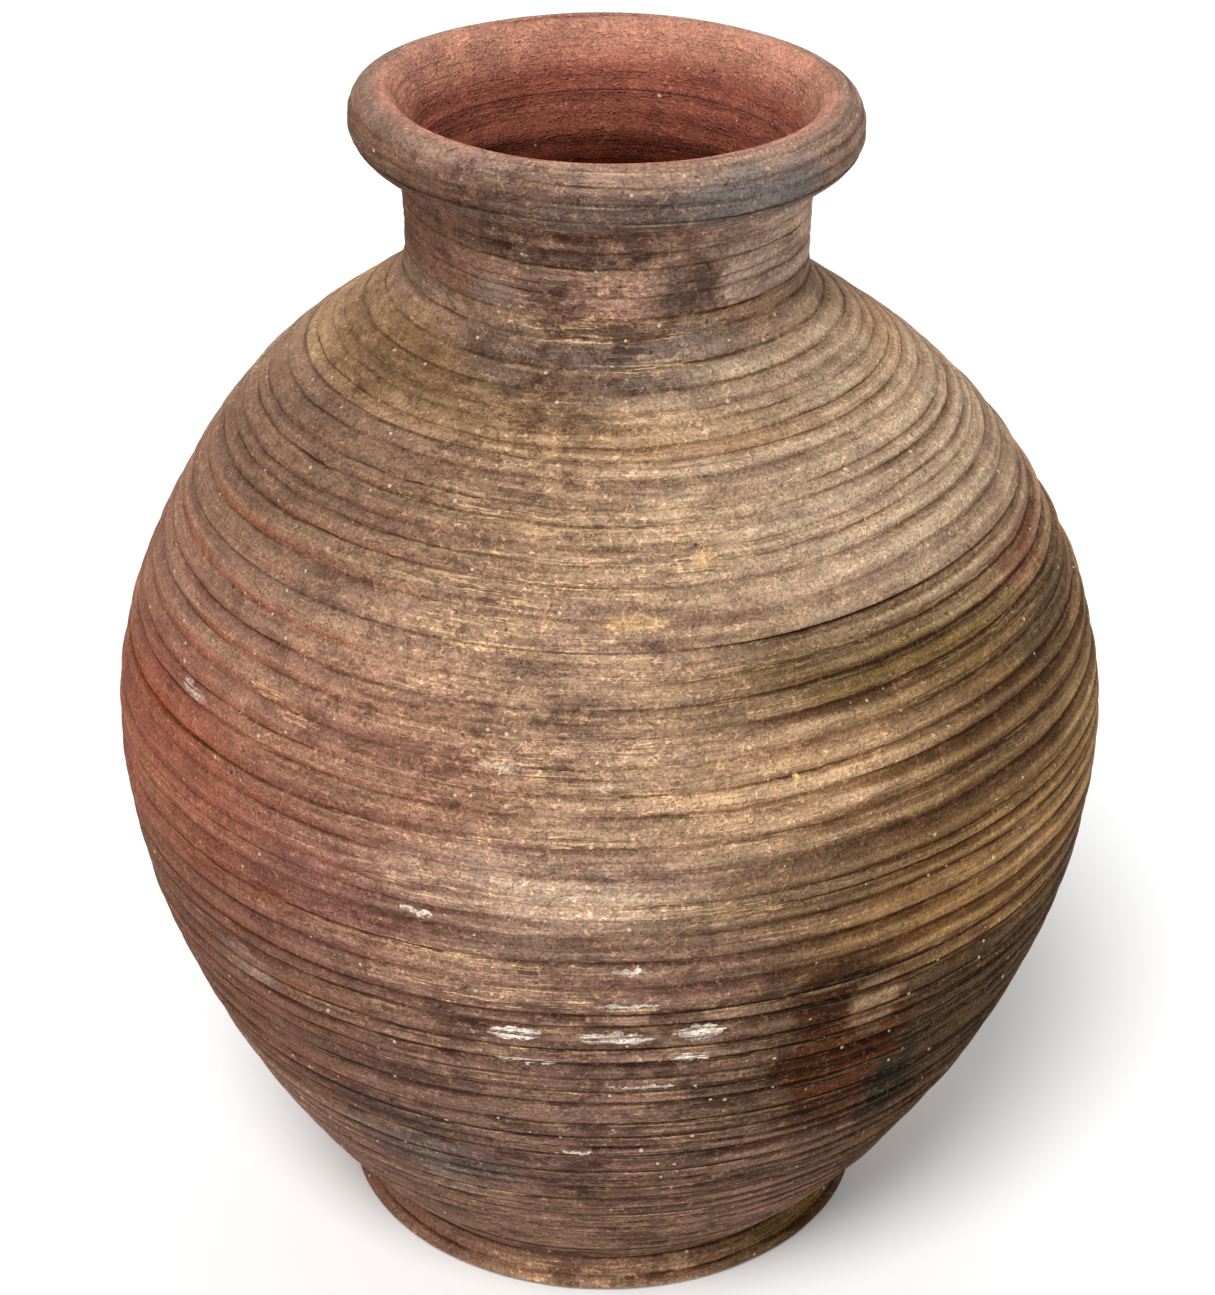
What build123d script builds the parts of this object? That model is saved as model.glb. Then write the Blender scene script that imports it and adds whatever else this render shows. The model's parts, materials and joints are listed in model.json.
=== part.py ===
from build123d import *
import os
from math import radians, tan

os.makedirs("parts", exist_ok=True)

# A large unglazed storage jar with a wide belly, a short neck and a rolled rim.
# It is built up from the foot in rings of clay: each ring is thrown or coiled on the one below.
# The upper edge of a ring is bevelled on both sides, and the lower edge of the next is hollowed over it.
# A thin bed of slip, the lute, fills the joint and stops short of both faces of the wall.
# The slip shrinks as it dries, so a hair of clearance is left above and below it.
# Sizes are in millimetres. Radii are measured from the jar's axis, and Z runs up from the ground.

# Foot ring
foot_radius = 178.0
foot_toe_height = 5.0
foot_toe_depth = 10.0
foot_height = 22.0
foot_waist_radius = 170.0
foot_waist_hollow = 1.5
foot_ring_width = 36.0

# Floor of the jar
floor_thickness = 18.0
floor_corner = 25.0

# Wall rings from the floor to the crown: rise, radius at the upper joint, swell of the outer face
base_rise = 20.0
base_radius = 186.0
lower_wall_rise = 68.0
lower_wall_radius = 235.5
lower_wall_swell = 1.5
flank_rise = 102.0
flank_radius = 288.0
flank_swell = 2.5
lower_belly_rise = 113.0
lower_belly_radius = 318.0
lower_belly_swell = 4.0
belly_rise = 110.0
belly_radius = 311.5
belly_swell = 5.5
upper_belly_rise = 101.0
upper_belly_radius = 262.0
upper_belly_swell = 4.5
shoulder_rise = 83.0
shoulder_radius = 185.0
shoulder_swell = 4.0
shoulder_ledge = 2.0
wall = 18.0

# Crown and neck: the crown slopes in to the neck and turns up into it
crown_rise = 45.0
neck_radius = 123.5
neck_root_radius = 30.0
neck_root_inner_radius = 12.0
neck_root_margin = 3.0
neck_height = 77.0
neck_wall = 14.0
neck_flare = 3.5
neck_waist_hollow = 1.0

# Rolled rim
rim_overhang = 28.5
rim_undercut = 1.1
roll_width = 31.0
roll_height = 40.5
roll_start_angle = -110.0
roll_turn = 260.0

# Joints between the rings
tongue_rise = 3.0
tongue_bevel = 6.0
lute_film = 1.4
lute_clearance = 0.3
lute_recess = 1.5


class Seam:
    """A joint through the wall, seen in section: its outer end, the way up the wall, its thickness."""

    def __init__(self, outer, up, thickness):
        self.outer = outer
        self.up = up
        self.inward = Vector(-up.Y, up.X)
        self.thickness = thickness

    def at(self, depth, film=0.0):
        """The point of the bevelled edge this deep in the wall, lifted by a film of slip."""
        up_the_bevel = min(depth, self.thickness - depth, tongue_bevel) / tongue_bevel
        rise = tongue_rise * up_the_bevel
        return self.outer + self.inward * depth + self.up * (rise + film)

    def edge(self, start, end, film=0.0):
        """Draws the bevelled edge between two depths in the wall."""
        depths = (start, tongue_bevel, self.thickness - tongue_bevel, end)
        Polyline(*(self.at(depth, film) for depth in depths))


def bowed(start, end, swell):
    """Draws the face of a wall as an arc that swells outwards from its chord."""
    along = (end - start).normalized()
    outwards = Vector(along.Y, -along.X)
    ThreePointArc(start, (start + end) / 2 + outwards * swell, end)


def wall_outline(lower, upper, swell, ledge=0.0):
    """Draws the section of a wall ring between two seams, with an overhanging lower edge if asked."""
    foot_of_face = lower.at(0, lute_film)
    if ledge:
        proud = foot_of_face - lower.inward * ledge
        Line(foot_of_face, proud)
        foot_of_face = proud
    outer_chord = upper.at(0) - lower.at(0, lute_film)
    inner_chord = upper.at(upper.thickness) - lower.at(lower.thickness, lute_film)
    inner_swell = swell * inner_chord.length / outer_chord.length
    bowed(foot_of_face, upper.at(0), swell)
    upper.edge(0, upper.thickness)
    bowed(lower.at(lower.thickness, lute_film), upper.at(upper.thickness), inner_swell)
    lower.edge(0, lower.thickness, lute_film)


def save(builder, name):
    """Labels a finished piece and writes it to its own file."""
    builder.part.label = name
    export_step(builder.part, f"parts/{name}.step")


# Places on the outer face, from the foot's waist up to the corner under the neck
rises = [base_rise, lower_wall_rise, flank_rise, lower_belly_rise, belly_rise, upper_belly_rise]
rises += [shoulder_rise, crown_rise]
radii = [base_radius, lower_wall_radius, flank_radius, lower_belly_radius, belly_radius]
radii += [upper_belly_radius, shoulder_radius, neck_radius]
places = [Vector(foot_waist_radius, foot_height)]
for rise, radius in zip(rises, radii):
    places.append(Vector(radius, places[-1].Y + rise))
neck_corner = places[-1]

# Each joint of the wall is square to the mean run of the face below and above it
wall_seams = []
for below, here, above in zip(places, places[1:], places[2:]):
    mean_run = (here - below).normalized() + (above - here).normalized()
    wall_seams.append(Seam(here, mean_run.normalized(), wall))
base_seam, lower_wall_seam, flank_seam, lower_belly_seam = wall_seams[:4]
belly_seam, upper_belly_seam, shoulder_seam = wall_seams[4:]

# The corners where the crown meets the neck, and the joint above both their rounds
mouth_radius = neck_radius - neck_wall
crown_run = (neck_corner - shoulder_seam.outer).normalized()
crown_inner_start = shoulder_seam.at(wall, lute_film)
crown_inner_rise = (mouth_radius - crown_inner_start.X) * crown_run.Y / crown_run.X
neck_inner_corner = Vector(mouth_radius, crown_inner_start.Y + crown_inner_rise)
half_turn = tan(radians(crown_run.get_angle(Vector(0, 1)) / 2))
outer_round_top = neck_corner.Y + neck_root_radius * half_turn
inner_round_top = neck_inner_corner.Y + neck_root_inner_radius * half_turn
crown_top = max(outer_round_top, inner_round_top) + neck_root_margin
crown_seam = Seam(Vector(neck_radius, crown_top), Vector(0, 1), neck_wall)
neck_top = Vector(neck_radius + neck_flare, neck_corner.Y + neck_height)
neck_seam = Seam(neck_top, Vector(0, 1), neck_wall + neck_flare)

# The foot is a ring with a rounded toe, which leaves the middle of the floor clear of the ground
foot_inner_radius = foot_waist_radius - foot_ring_width
with BuildPart() as foot_ring:
    with BuildSketch(Plane.XZ):
        with BuildLine():
            toe_centre = (foot_radius - foot_toe_depth, foot_toe_height)
            toe = EllipticalCenterArc(toe_centre, foot_toe_depth, foot_toe_height, -90, arc_size=90)
            bowed(toe @ 1, Vector(foot_waist_radius, foot_height), -foot_waist_hollow)
            Polyline(
                (foot_waist_radius, foot_height),
                (foot_inner_radius, foot_height),
                (foot_inner_radius, 0),
                toe @ 0,
            )
        make_face()
    revolve(axis=Axis.Z)
save(foot_ring, "foot_ring")

# The foot's lute lies flat between the ring and the floor disc
with BuildPart() as foot_lute:
    with BuildSketch(Plane.XY.offset(foot_height + lute_clearance)):
        Circle(foot_waist_radius - lute_recess)
        Circle(foot_inner_radius + lute_recess, mode=Mode.SUBTRACT)
    extrude(amount=lute_film - 2 * lute_clearance)
save(foot_lute, "foot_lute")

# The floor disc carries the first of the wall on its turned-up edge
base_underside = foot_height + lute_film
floor_height = base_underside + floor_thickness
with BuildPart() as base_disc:
    with BuildSketch(Plane.XZ):
        with BuildLine():
            wall_foot = base_seam.at(wall)
            floor_edge = Vector(wall_foot.X - floor_corner, floor_height)
            TangentArc(floor_edge, wall_foot, tangent=(1, 0))
            base_seam.edge(0, wall)
            Polyline(
                base_seam.at(0),
                (foot_waist_radius, base_underside),
                (0, base_underside),
                (0, floor_height),
                floor_edge,
            )
        make_face()
    revolve(axis=Axis.Z)
save(base_disc, "base_disc")

# The rings of the wall, each between the seam below it and its own
wall_rings = [
    ("lower_wall", base_seam, lower_wall_seam, lower_wall_swell, 0.0),
    ("flank", lower_wall_seam, flank_seam, flank_swell, 0.0),
    ("lower_belly", flank_seam, lower_belly_seam, lower_belly_swell, 0.0),
    ("belly", lower_belly_seam, belly_seam, belly_swell, 0.0),
    ("upper_belly", belly_seam, upper_belly_seam, upper_belly_swell, 0.0),
    ("shoulder", upper_belly_seam, shoulder_seam, shoulder_swell, shoulder_ledge),
]
for name, lower, upper, swell, ledge in wall_rings:
    with BuildPart() as wall_ring:
        with BuildSketch(Plane.XZ):
            with BuildLine():
                wall_outline(lower, upper, swell, ledge)
            make_face()
        revolve(axis=Axis.Z)
    save(wall_ring, name)

# The crown closes the shoulder in and turns up into the foot of the neck
with BuildPart() as crown:
    with BuildSketch(Plane.XZ):
        with BuildLine():
            FilletPolyline(
                shoulder_seam.at(0, lute_film),
                neck_corner,
                crown_seam.at(0),
                radius=neck_root_radius,
            )
            crown_seam.edge(0, neck_wall)
            FilletPolyline(
                crown_inner_start,
                neck_inner_corner,
                crown_seam.at(neck_wall),
                radius=neck_root_inner_radius,
            )
            shoulder_seam.edge(0, wall, lute_film)
        make_face()
    revolve(axis=Axis.Z)
save(crown, "crown")

# The neck has a true round bore, and its outer face is a little waisted
with BuildPart() as neck:
    with BuildSketch(Plane.XZ):
        with BuildLine():
            bowed(crown_seam.at(0, lute_film), neck_seam.at(0), -neck_waist_hollow)
            neck_seam.edge(0, neck_seam.thickness)
            Line(neck_seam.at(neck_seam.thickness), crown_seam.at(neck_wall, lute_film))
            crown_seam.edge(0, neck_wall, lute_film)
        make_face()
    revolve(axis=Axis.Z)
save(neck, "neck")

# The rim is a heavy roll that overhangs the neck, with a mouth that flares up to its crest
roll_centre = Vector(
    neck_top.X + rim_overhang - roll_width / 2,
    neck_top.Y + lute_film + rim_undercut + roll_height / 2,
)
with BuildPart() as rim:
    with BuildSketch(Plane.XZ):
        with BuildLine():
            roll = EllipticalCenterArc(
                roll_centre, roll_width / 2, roll_height / 2, roll_start_angle, arc_size=roll_turn
            )
            Line(neck_seam.at(0, lute_film), roll @ 0)
            Line(roll @ 1, neck_seam.at(neck_seam.thickness, lute_film))
            neck_seam.edge(0, neck_seam.thickness, lute_film)
        make_face()
    revolve(axis=Axis.Z)
save(rim, "rim")

# A lute lies in every bevelled joint, named after the ring that it is spread on
luted_rings = [
    ("base", base_seam),
    ("lower_wall", lower_wall_seam),
    ("flank", flank_seam),
    ("lower_belly", lower_belly_seam),
    ("belly", belly_seam),
    ("upper_belly", upper_belly_seam),
    ("shoulder", shoulder_seam),
    ("crown", crown_seam),
    ("neck", neck_seam),
]
lute_under = lute_clearance
lute_over = lute_film - lute_clearance
for name, seam in luted_rings:
    near = lute_recess
    far = seam.thickness - lute_recess
    with BuildPart() as lute:
        with BuildSketch(Plane.XZ):
            with BuildLine():
                seam.edge(near, far, lute_under)
                Line(seam.at(far, lute_under), seam.at(far, lute_over))
                seam.edge(near, far, lute_over)
                Line(seam.at(near, lute_over), seam.at(near, lute_under))
            make_face()
        revolve(axis=Axis.Z)
    save(lute, f"{name}_lute")

# Sizes that the mounts and the space inside are stated with
print("height", round(roll_centre.Y + roll_height / 2, 2))
print("mouth radius", mouth_radius, "bore from", round(inner_round_top, 2), "to", round(neck_top.Y, 2))
for name, seam in luted_rings:
    inner = seam.at(seam.thickness)
    print(name, "inner radius", round(inner.X, 1), "at", round(inner.Y, 1))
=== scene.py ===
"""A large unglazed storage jar of thrown and luted clay rings, modelled and dressed over its CAD frame.

Lengths are in metres. Angles round the jar are in degrees: 0 faces the camera and 90 is the jar's
right side as the camera sees it. Heights run up from the ground.
"""

import json
import logging
import math
from dataclasses import dataclass
from enum import Enum

import bpy
import numpy as np
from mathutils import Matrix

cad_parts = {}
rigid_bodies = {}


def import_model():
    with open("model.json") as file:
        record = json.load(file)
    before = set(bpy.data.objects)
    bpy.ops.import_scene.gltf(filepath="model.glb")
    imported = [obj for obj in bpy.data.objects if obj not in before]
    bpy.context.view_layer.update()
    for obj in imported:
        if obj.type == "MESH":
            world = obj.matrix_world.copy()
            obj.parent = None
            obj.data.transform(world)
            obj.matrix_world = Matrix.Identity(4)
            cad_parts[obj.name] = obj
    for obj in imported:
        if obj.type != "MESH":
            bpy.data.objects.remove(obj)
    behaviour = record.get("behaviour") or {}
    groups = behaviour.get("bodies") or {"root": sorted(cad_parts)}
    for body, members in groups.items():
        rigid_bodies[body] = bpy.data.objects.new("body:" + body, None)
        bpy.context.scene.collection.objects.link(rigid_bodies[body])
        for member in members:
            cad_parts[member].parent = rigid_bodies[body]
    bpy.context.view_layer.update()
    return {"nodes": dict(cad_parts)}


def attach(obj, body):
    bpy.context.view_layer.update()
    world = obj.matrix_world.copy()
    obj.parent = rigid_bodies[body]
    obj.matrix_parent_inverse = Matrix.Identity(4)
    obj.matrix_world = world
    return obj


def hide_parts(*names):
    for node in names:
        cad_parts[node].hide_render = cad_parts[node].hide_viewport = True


for leftover in list(bpy.data.objects):
    bpy.data.objects.remove(leftover)
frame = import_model()

log = logging.getLogger("jar")

MM = 0.001
BODY = "root"
SPIN_STEPS = 640

Colour = tuple[float, float, float, float]
Socket = bpy.types.NodeSocket
Sockets = bpy.types.NodeOutputs


def clay(red: int, green: int, blue: int) -> Colour:
    """Turns a colour as a screen shows it, 0 to 255, into the linear colour that shaders take.

    Args:
        red: Red as shown on a screen.
        green: Green as shown on a screen.
        blue: Blue as shown on a screen.

    Returns:
        The linear colour, with full alpha.
    """
    shown = (red / 255, green / 255, blue / 255)
    linear = [c / 12.92 if c <= 0.04045 else ((c + 0.055) / 1.055) ** 2.4 for c in shown]
    return (linear[0], linear[1], linear[2], 1.0)


def select_only(piece: bpy.types.Object) -> None:
    """Selects one object alone and makes it the active one."""
    bpy.ops.object.select_all(action="DESELECT")
    piece.select_set(True)
    bpy.context.view_layer.objects.active = piece


def smoothstep(low: float, high: float, value: np.ndarray) -> np.ndarray:
    """Rises smoothly from 0 at low to 1 at high."""
    share = np.clip((value - low) / (high - low), 0.0, 1.0)
    return share * share * (3 - 2 * share)


def bump(centre: float, reach: float, value: np.ndarray) -> np.ndarray:
    """A smooth rise and fall, 1 at the centre and small past its reach."""
    return np.exp(-(((value - centre) / reach) ** 2))


def turned_to(centre: float, angle: np.ndarray) -> np.ndarray:
    """How far each angle lies from a centre, the short way round, in degrees."""
    return (angle - centre + 180.0) % 360.0 - 180.0


def vertex_places(mesh: bpy.types.Mesh) -> np.ndarray:
    """Reads the places of a mesh's vertices, one in each row."""
    places = np.zeros(len(mesh.vertices) * 3)
    mesh.vertices.foreach_get("co", places)
    return places.reshape(-1, 3)


def line_numbers(mesh: bpy.types.Mesh) -> np.ndarray:
    """Reads which line of its piece each vertex of a mesh is on."""
    numbers = np.zeros(len(mesh.vertices), np.int32)
    mesh.attributes["line"].data.foreach_get("value", numbers)
    return numbers


class Ripple:
    """A smooth random unevenness that closes on itself round the jar and drifts along its wall."""

    def __init__(self, seed: int, fewest: int, most: int, along: float, count: int = 9) -> None:
        """Draws the waves.

        Args:
            seed: Which unevenness this is.
            fewest: Least number of waves round the jar.
            most: Greatest number of waves round the jar.
            along: Length of a wave along the wall, or 0 for one that doesn't change along it.
            count: How many waves are added together.
        """
        draw = np.random.default_rng(seed)
        self.turns = draw.integers(fewest, most + 1, count)
        self.slopes = draw.uniform(-1, 1, count) * (2 * math.pi / along if along else 0.0)
        self.phases = draw.uniform(0, 2 * math.pi, count)
        self.weights = draw.uniform(0.5, 1.0, count)
        self.weights /= np.sqrt((self.weights**2).sum() / 2)

    def at(self, angle: np.ndarray, run: np.ndarray) -> np.ndarray:
        """Gives the unevenness, about -2 to 2.

        Args:
            angle: Angles round the jar in degrees.
            run: Distances along the wall.

        Returns:
            One value for each pair.
        """
        total = np.zeros(np.broadcast(angle, run).shape)
        around = np.radians(angle)
        for turn, slope, phase, weight in zip(self.turns, self.slopes, self.phases, self.weights):
            total += weight * np.cos(turn * around + slope * run + phase)
        return total


class OuterSkin:
    """The jar's outline from outside, read from the CAD nodes."""

    step = 8 * MM

    def __init__(self, nodes: tuple[str, ...]) -> None:
        """Reads how far the outer face lies from the axis at every height.

        Args:
            nodes: The CAD nodes that the outer face is made of.
        """
        found = []
        for node in nodes:
            places = vertex_places(frame["nodes"][node].data)
            found.append(np.stack([places[:, 2], np.hypot(places[:, 0], places[:, 1])], axis=1))
        seen = np.concatenate(found)
        self.heights = np.arange(0.0, seen[:, 0].max(), self.step)
        reach = [seen[np.abs(seen[:, 0] - height) < self.step, 1].max() for height in self.heights]
        self.reach = np.array(reach)
        self.slope = np.gradient(self.reach, self.heights)

    def radius(self, height: float) -> float:
        """Gives the distance of the outer face from the axis at a height."""
        return float(np.interp(height, self.heights, self.reach))

    def up_the_wall(self, height: np.ndarray) -> tuple[np.ndarray, np.ndarray]:
        """Gives the way up the wall at some heights.

        Args:
            height: Heights above the ground.

        Returns:
            How far a step up the wall leads outwards, and how far it leads upwards.
        """
        slope = np.interp(height, self.heights, self.slope)
        upwards = 1.0 / np.hypot(1.0, slope)
        return slope * upwards, upwards


class PotterHand:
    """What the potter's hands and the kiln did to the whole jar: it leans, dips and bulges a little."""

    lean_heights = (0.0, 60 * MM, 200 * MM, 400 * MM, 784 * MM)
    lean_shifts = (-2.4 * MM, -0.6 * MM, 1.8 * MM, 0.4 * MM, 0.0)
    tilt = math.radians(0.8)
    bulge = 4.0 * MM
    unevenness = 0.8 * MM
    climb = 9.0 * MM
    mouth_easing = 4.0 * MM

    # Each place is a middle and a reach, and each change a start and an end
    bulge_angles = (-90.0, 55.0)
    bulge_heights = (612 * MM, 50 * MM)
    uneven_from = (0.0, 120 * MM)
    swollen_from = (0.0, 60 * MM)
    mouth_edge = (112 * MM, 122 * MM)
    mouth_heights = (741 * MM, 14 * MM)
    climb_starts = (6.0, 68.0)
    climb_ends = (95.0, 178.0)
    climb_heights = (480 * MM, 110 * MM)
    tilted_from = (480 * MM, 660 * MM)

    def __init__(self, skin: OuterSkin) -> None:
        """Draws the unevenness of the walls.

        Args:
            skin: The jar's outline.
        """
        self.skin = skin
        self.wall = Ripple(11, 2, 5, 0.5)

    def sway(self, points: np.ndarray) -> np.ndarray:
        """Moves points as the whole jar is bent.

        Args:
            points: Places on the jar as it was drawn, one in each row.

        Returns:
            The same places on the jar as it came out.
        """
        radius = np.hypot(points[:, 0], points[:, 1])
        angle = np.degrees(np.arctan2(points[:, 0], -points[:, 1]))
        height = points[:, 2]
        left_shoulder = bump(*self.bulge_angles, turned_to(0, angle)) * bump(*self.bulge_heights, height)
        above_ground = smoothstep(*self.uneven_from, height)
        swell = self.bulge * left_shoulder + self.unevenness * above_ground * self.wall.at(angle, height)
        swell *= smoothstep(*self.swollen_from, radius)
        within_mouth = 1.0 - smoothstep(*self.mouth_edge, radius)
        swell += self.mouth_easing * within_mouth * bump(*self.mouth_heights, height)
        to_the_right = smoothstep(*self.climb_starts, angle) * (1.0 - smoothstep(*self.climb_ends, angle))
        climb = self.climb * to_the_right * bump(*self.climb_heights, height)
        outwards, upwards = self.skin.up_the_wall(height)
        around = np.radians(angle)
        reach = radius + swell + climb * outwards
        out = np.stack([reach * np.sin(around), -reach * np.cos(around), height + climb * upwards], axis=1)
        out[:, 0] += np.interp(height, self.lean_heights, self.lean_shifts)
        out[:, 2] -= points[:, 0] * math.tan(self.tilt) * smoothstep(*self.tilted_from, height)
        out[:, 2] = np.maximum(out[:, 2], 0.0)
        return out


@dataclass
class Side:
    """One run of a section between two corners, as distances from the axis and heights."""

    points: np.ndarray

    @property
    def marks(self) -> np.ndarray:
        """Distances of the points along the side."""
        steps = np.hypot(*np.diff(self.points, axis=0).T)
        return np.concatenate([[0.0], np.cumsum(steps)])

    @property
    def rise(self) -> float:
        """How far the side climbs from its start to its end."""
        return float(self.points[-1, 1] - self.points[0, 1])

    def at(self, distances: np.ndarray, smooth: bool) -> np.ndarray:
        """Gives points along the side.

        Args:
            distances: How far along the side each point lies.
            smooth: Whether the side is a curve through its points, not straight runs between them.

        Returns:
            One point for each distance.
        """
        marks = self.marks
        if not smooth or len(marks) < 3:
            return np.stack([np.interp(distances, marks, column) for column in self.points.T], axis=1)
        gaps = np.diff(marks)
        slopes = np.diff(self.points, axis=0) / gaps[:, None]
        inner = slopes[:-1] * gaps[1:, None] + slopes[1:] * gaps[:-1, None]
        inner /= (gaps[1:] + gaps[:-1])[:, None]
        tangents = np.vstack([slopes[:1], inner, slopes[-1:]])
        span = np.clip(np.searchsorted(marks, distances, side="right") - 1, 0, len(gaps) - 1)
        gap = gaps[span][:, None]
        t = ((distances - marks[span]) / gaps[span])[:, None]
        start, end = self.points[span], self.points[span + 1]
        leave, arrive = tangents[span] * gap, tangents[span + 1] * gap
        return (
            start * (2 * t**3 - 3 * t**2 + 1)
            + leave * (t**3 - 2 * t**2 + t)
            + end * (3 * t**2 - 2 * t**3)
            + arrive * (t**3 - t**2)
        )


class Section:
    """Half of the cut through a CAD node and the jar's axis, with its outer face running upwards."""

    corner = math.radians(45)

    def __init__(self, node: str) -> None:
        """Cuts a copy of the node and puts the cut's points in order.

        Args:
            node: Name of the CAD node.
        """
        mesh = frame["nodes"][node].data.copy()
        cut = bpy.data.objects.new(f"{node}_cut", mesh)
        bpy.context.scene.collection.objects.link(cut)
        select_only(cut)
        bpy.ops.object.mode_set(mode="EDIT")
        bpy.ops.mesh.select_all(action="SELECT")
        bpy.ops.mesh.remove_doubles(threshold=1e-6)
        bpy.ops.mesh.select_all(action="SELECT")
        bpy.ops.mesh.bisect(plane_co=(0, 0, 0), plane_no=(0, 1, 0), clear_inner=True, clear_outer=True)
        bpy.ops.mesh.select_all(action="SELECT")
        bpy.ops.mesh.bisect(plane_co=(0, 0, 0), plane_no=(1, 0, 0), clear_inner=True)
        bpy.ops.object.mode_set(mode="OBJECT")
        places = np.array([(vertex.co.x, vertex.co.z) for vertex in mesh.vertices])
        pairs = [tuple(edge.vertices) for edge in mesh.edges]
        bpy.data.objects.remove(cut)
        bpy.data.meshes.remove(mesh)
        self.points, self.closed = self._in_order(places, pairs)

    @staticmethod
    def _in_order(places: np.ndarray, pairs: list[tuple[int, int]]) -> tuple[np.ndarray, bool]:
        """Follows the cut's edges from point to point.

        Args:
            places: The cut's points in no order.
            pairs: Which points its edges join.

        Returns:
            The points in order, with the clay on the left, and whether they close on themselves.
        """
        beside: dict[int, list[int]] = {index: [] for index in range(len(places))}
        for one, other in pairs:
            beside[one].append(other)
            beside[other].append(one)
        ends = [index for index, others in beside.items() if len(others) == 1]
        order = [ends[0] if ends else 0]
        while True:
            onward = [index for index in beside[order[-1]] if index not in order[-2:]]
            if not onward or onward[0] == order[0]:
                break
            order.append(onward[0])
        points = places[order]
        turned = np.roll(points, -1, axis=0)
        area = (points[:, 0] * turned[:, 1] - turned[:, 0] * points[:, 1]).sum()
        return (points if area > 0 else points[::-1]), not ends

    def sides(self) -> list[Side]:
        """Breaks the section at its corners.

        Returns:
            The sides in order. A closed section's last side ends where its first starts.
        """
        points = self.points
        ahead = np.roll(points, -1, axis=0) - points
        heading = np.arctan2(ahead[:, 1], ahead[:, 0])
        turn = np.abs((heading - np.roll(heading, 1) + math.pi) % (2 * math.pi) - math.pi)
        corners = [index for index in range(len(points)) if turn[index] > self.corner]
        if not self.closed:
            inner = [index for index in corners if 0 < index < len(points) - 1]
            stops = [0, *inner, len(points) - 1]
            return [Side(points[one : other + 1]) for one, other in zip(stops, stops[1:])]
        points = np.roll(points, -corners[0], axis=0)
        points = np.vstack([points, points[:1]])
        stops = [index - corners[0] for index in corners] + [len(points) - 1]
        return [Side(points[one : other + 1]) for one, other in zip(stops, stops[1:])]


class Zone(Enum):
    """A part of the jar's round, left in its own way by hands and weather: its middle and its reach."""

    LEFT = (-66.0, 40.0)
    CENTRE = (-4.0, 24.0)
    RIGHT = (80.0, 74.0)

    def share(self, angle: np.ndarray) -> np.ndarray:
        """Gives how much of this zone there is at some angles.

        Args:
            angle: Angles round the jar in degrees.

        Returns:
            Shares, 1 in the zone's middle.
        """
        middle, reach = self.value
        return np.exp(-((turned_to(middle, angle) / reach) ** 4))


class Face(Enum):
    """What a line of a turned piece lies on."""

    JOINT = 0
    OUTER = 1
    INNER = 2


@dataclass
class Lines:
    """The lines that a turned piece is spun from, one for each point of its resampled section."""

    points: np.ndarray
    run: np.ndarray
    face: np.ndarray
    ring: np.ndarray
    drop: np.ndarray
    slack: np.ndarray
    tangent: np.ndarray

    @property
    def normal(self) -> np.ndarray:
        """Directions out of the clay."""
        return np.stack([self.tangent[:, 1], -self.tangent[:, 0]], axis=1)


@dataclass
class Surface:
    """What is known of every vertex of a turned piece before its clay is moved."""

    angle: np.ndarray
    run: np.ndarray
    drop: np.ndarray
    slack: np.ndarray
    outer: np.ndarray
    inner: np.ndarray
    ringed: np.ndarray
    at_top: np.ndarray
    strength: np.ndarray
    relief: np.ndarray


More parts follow.
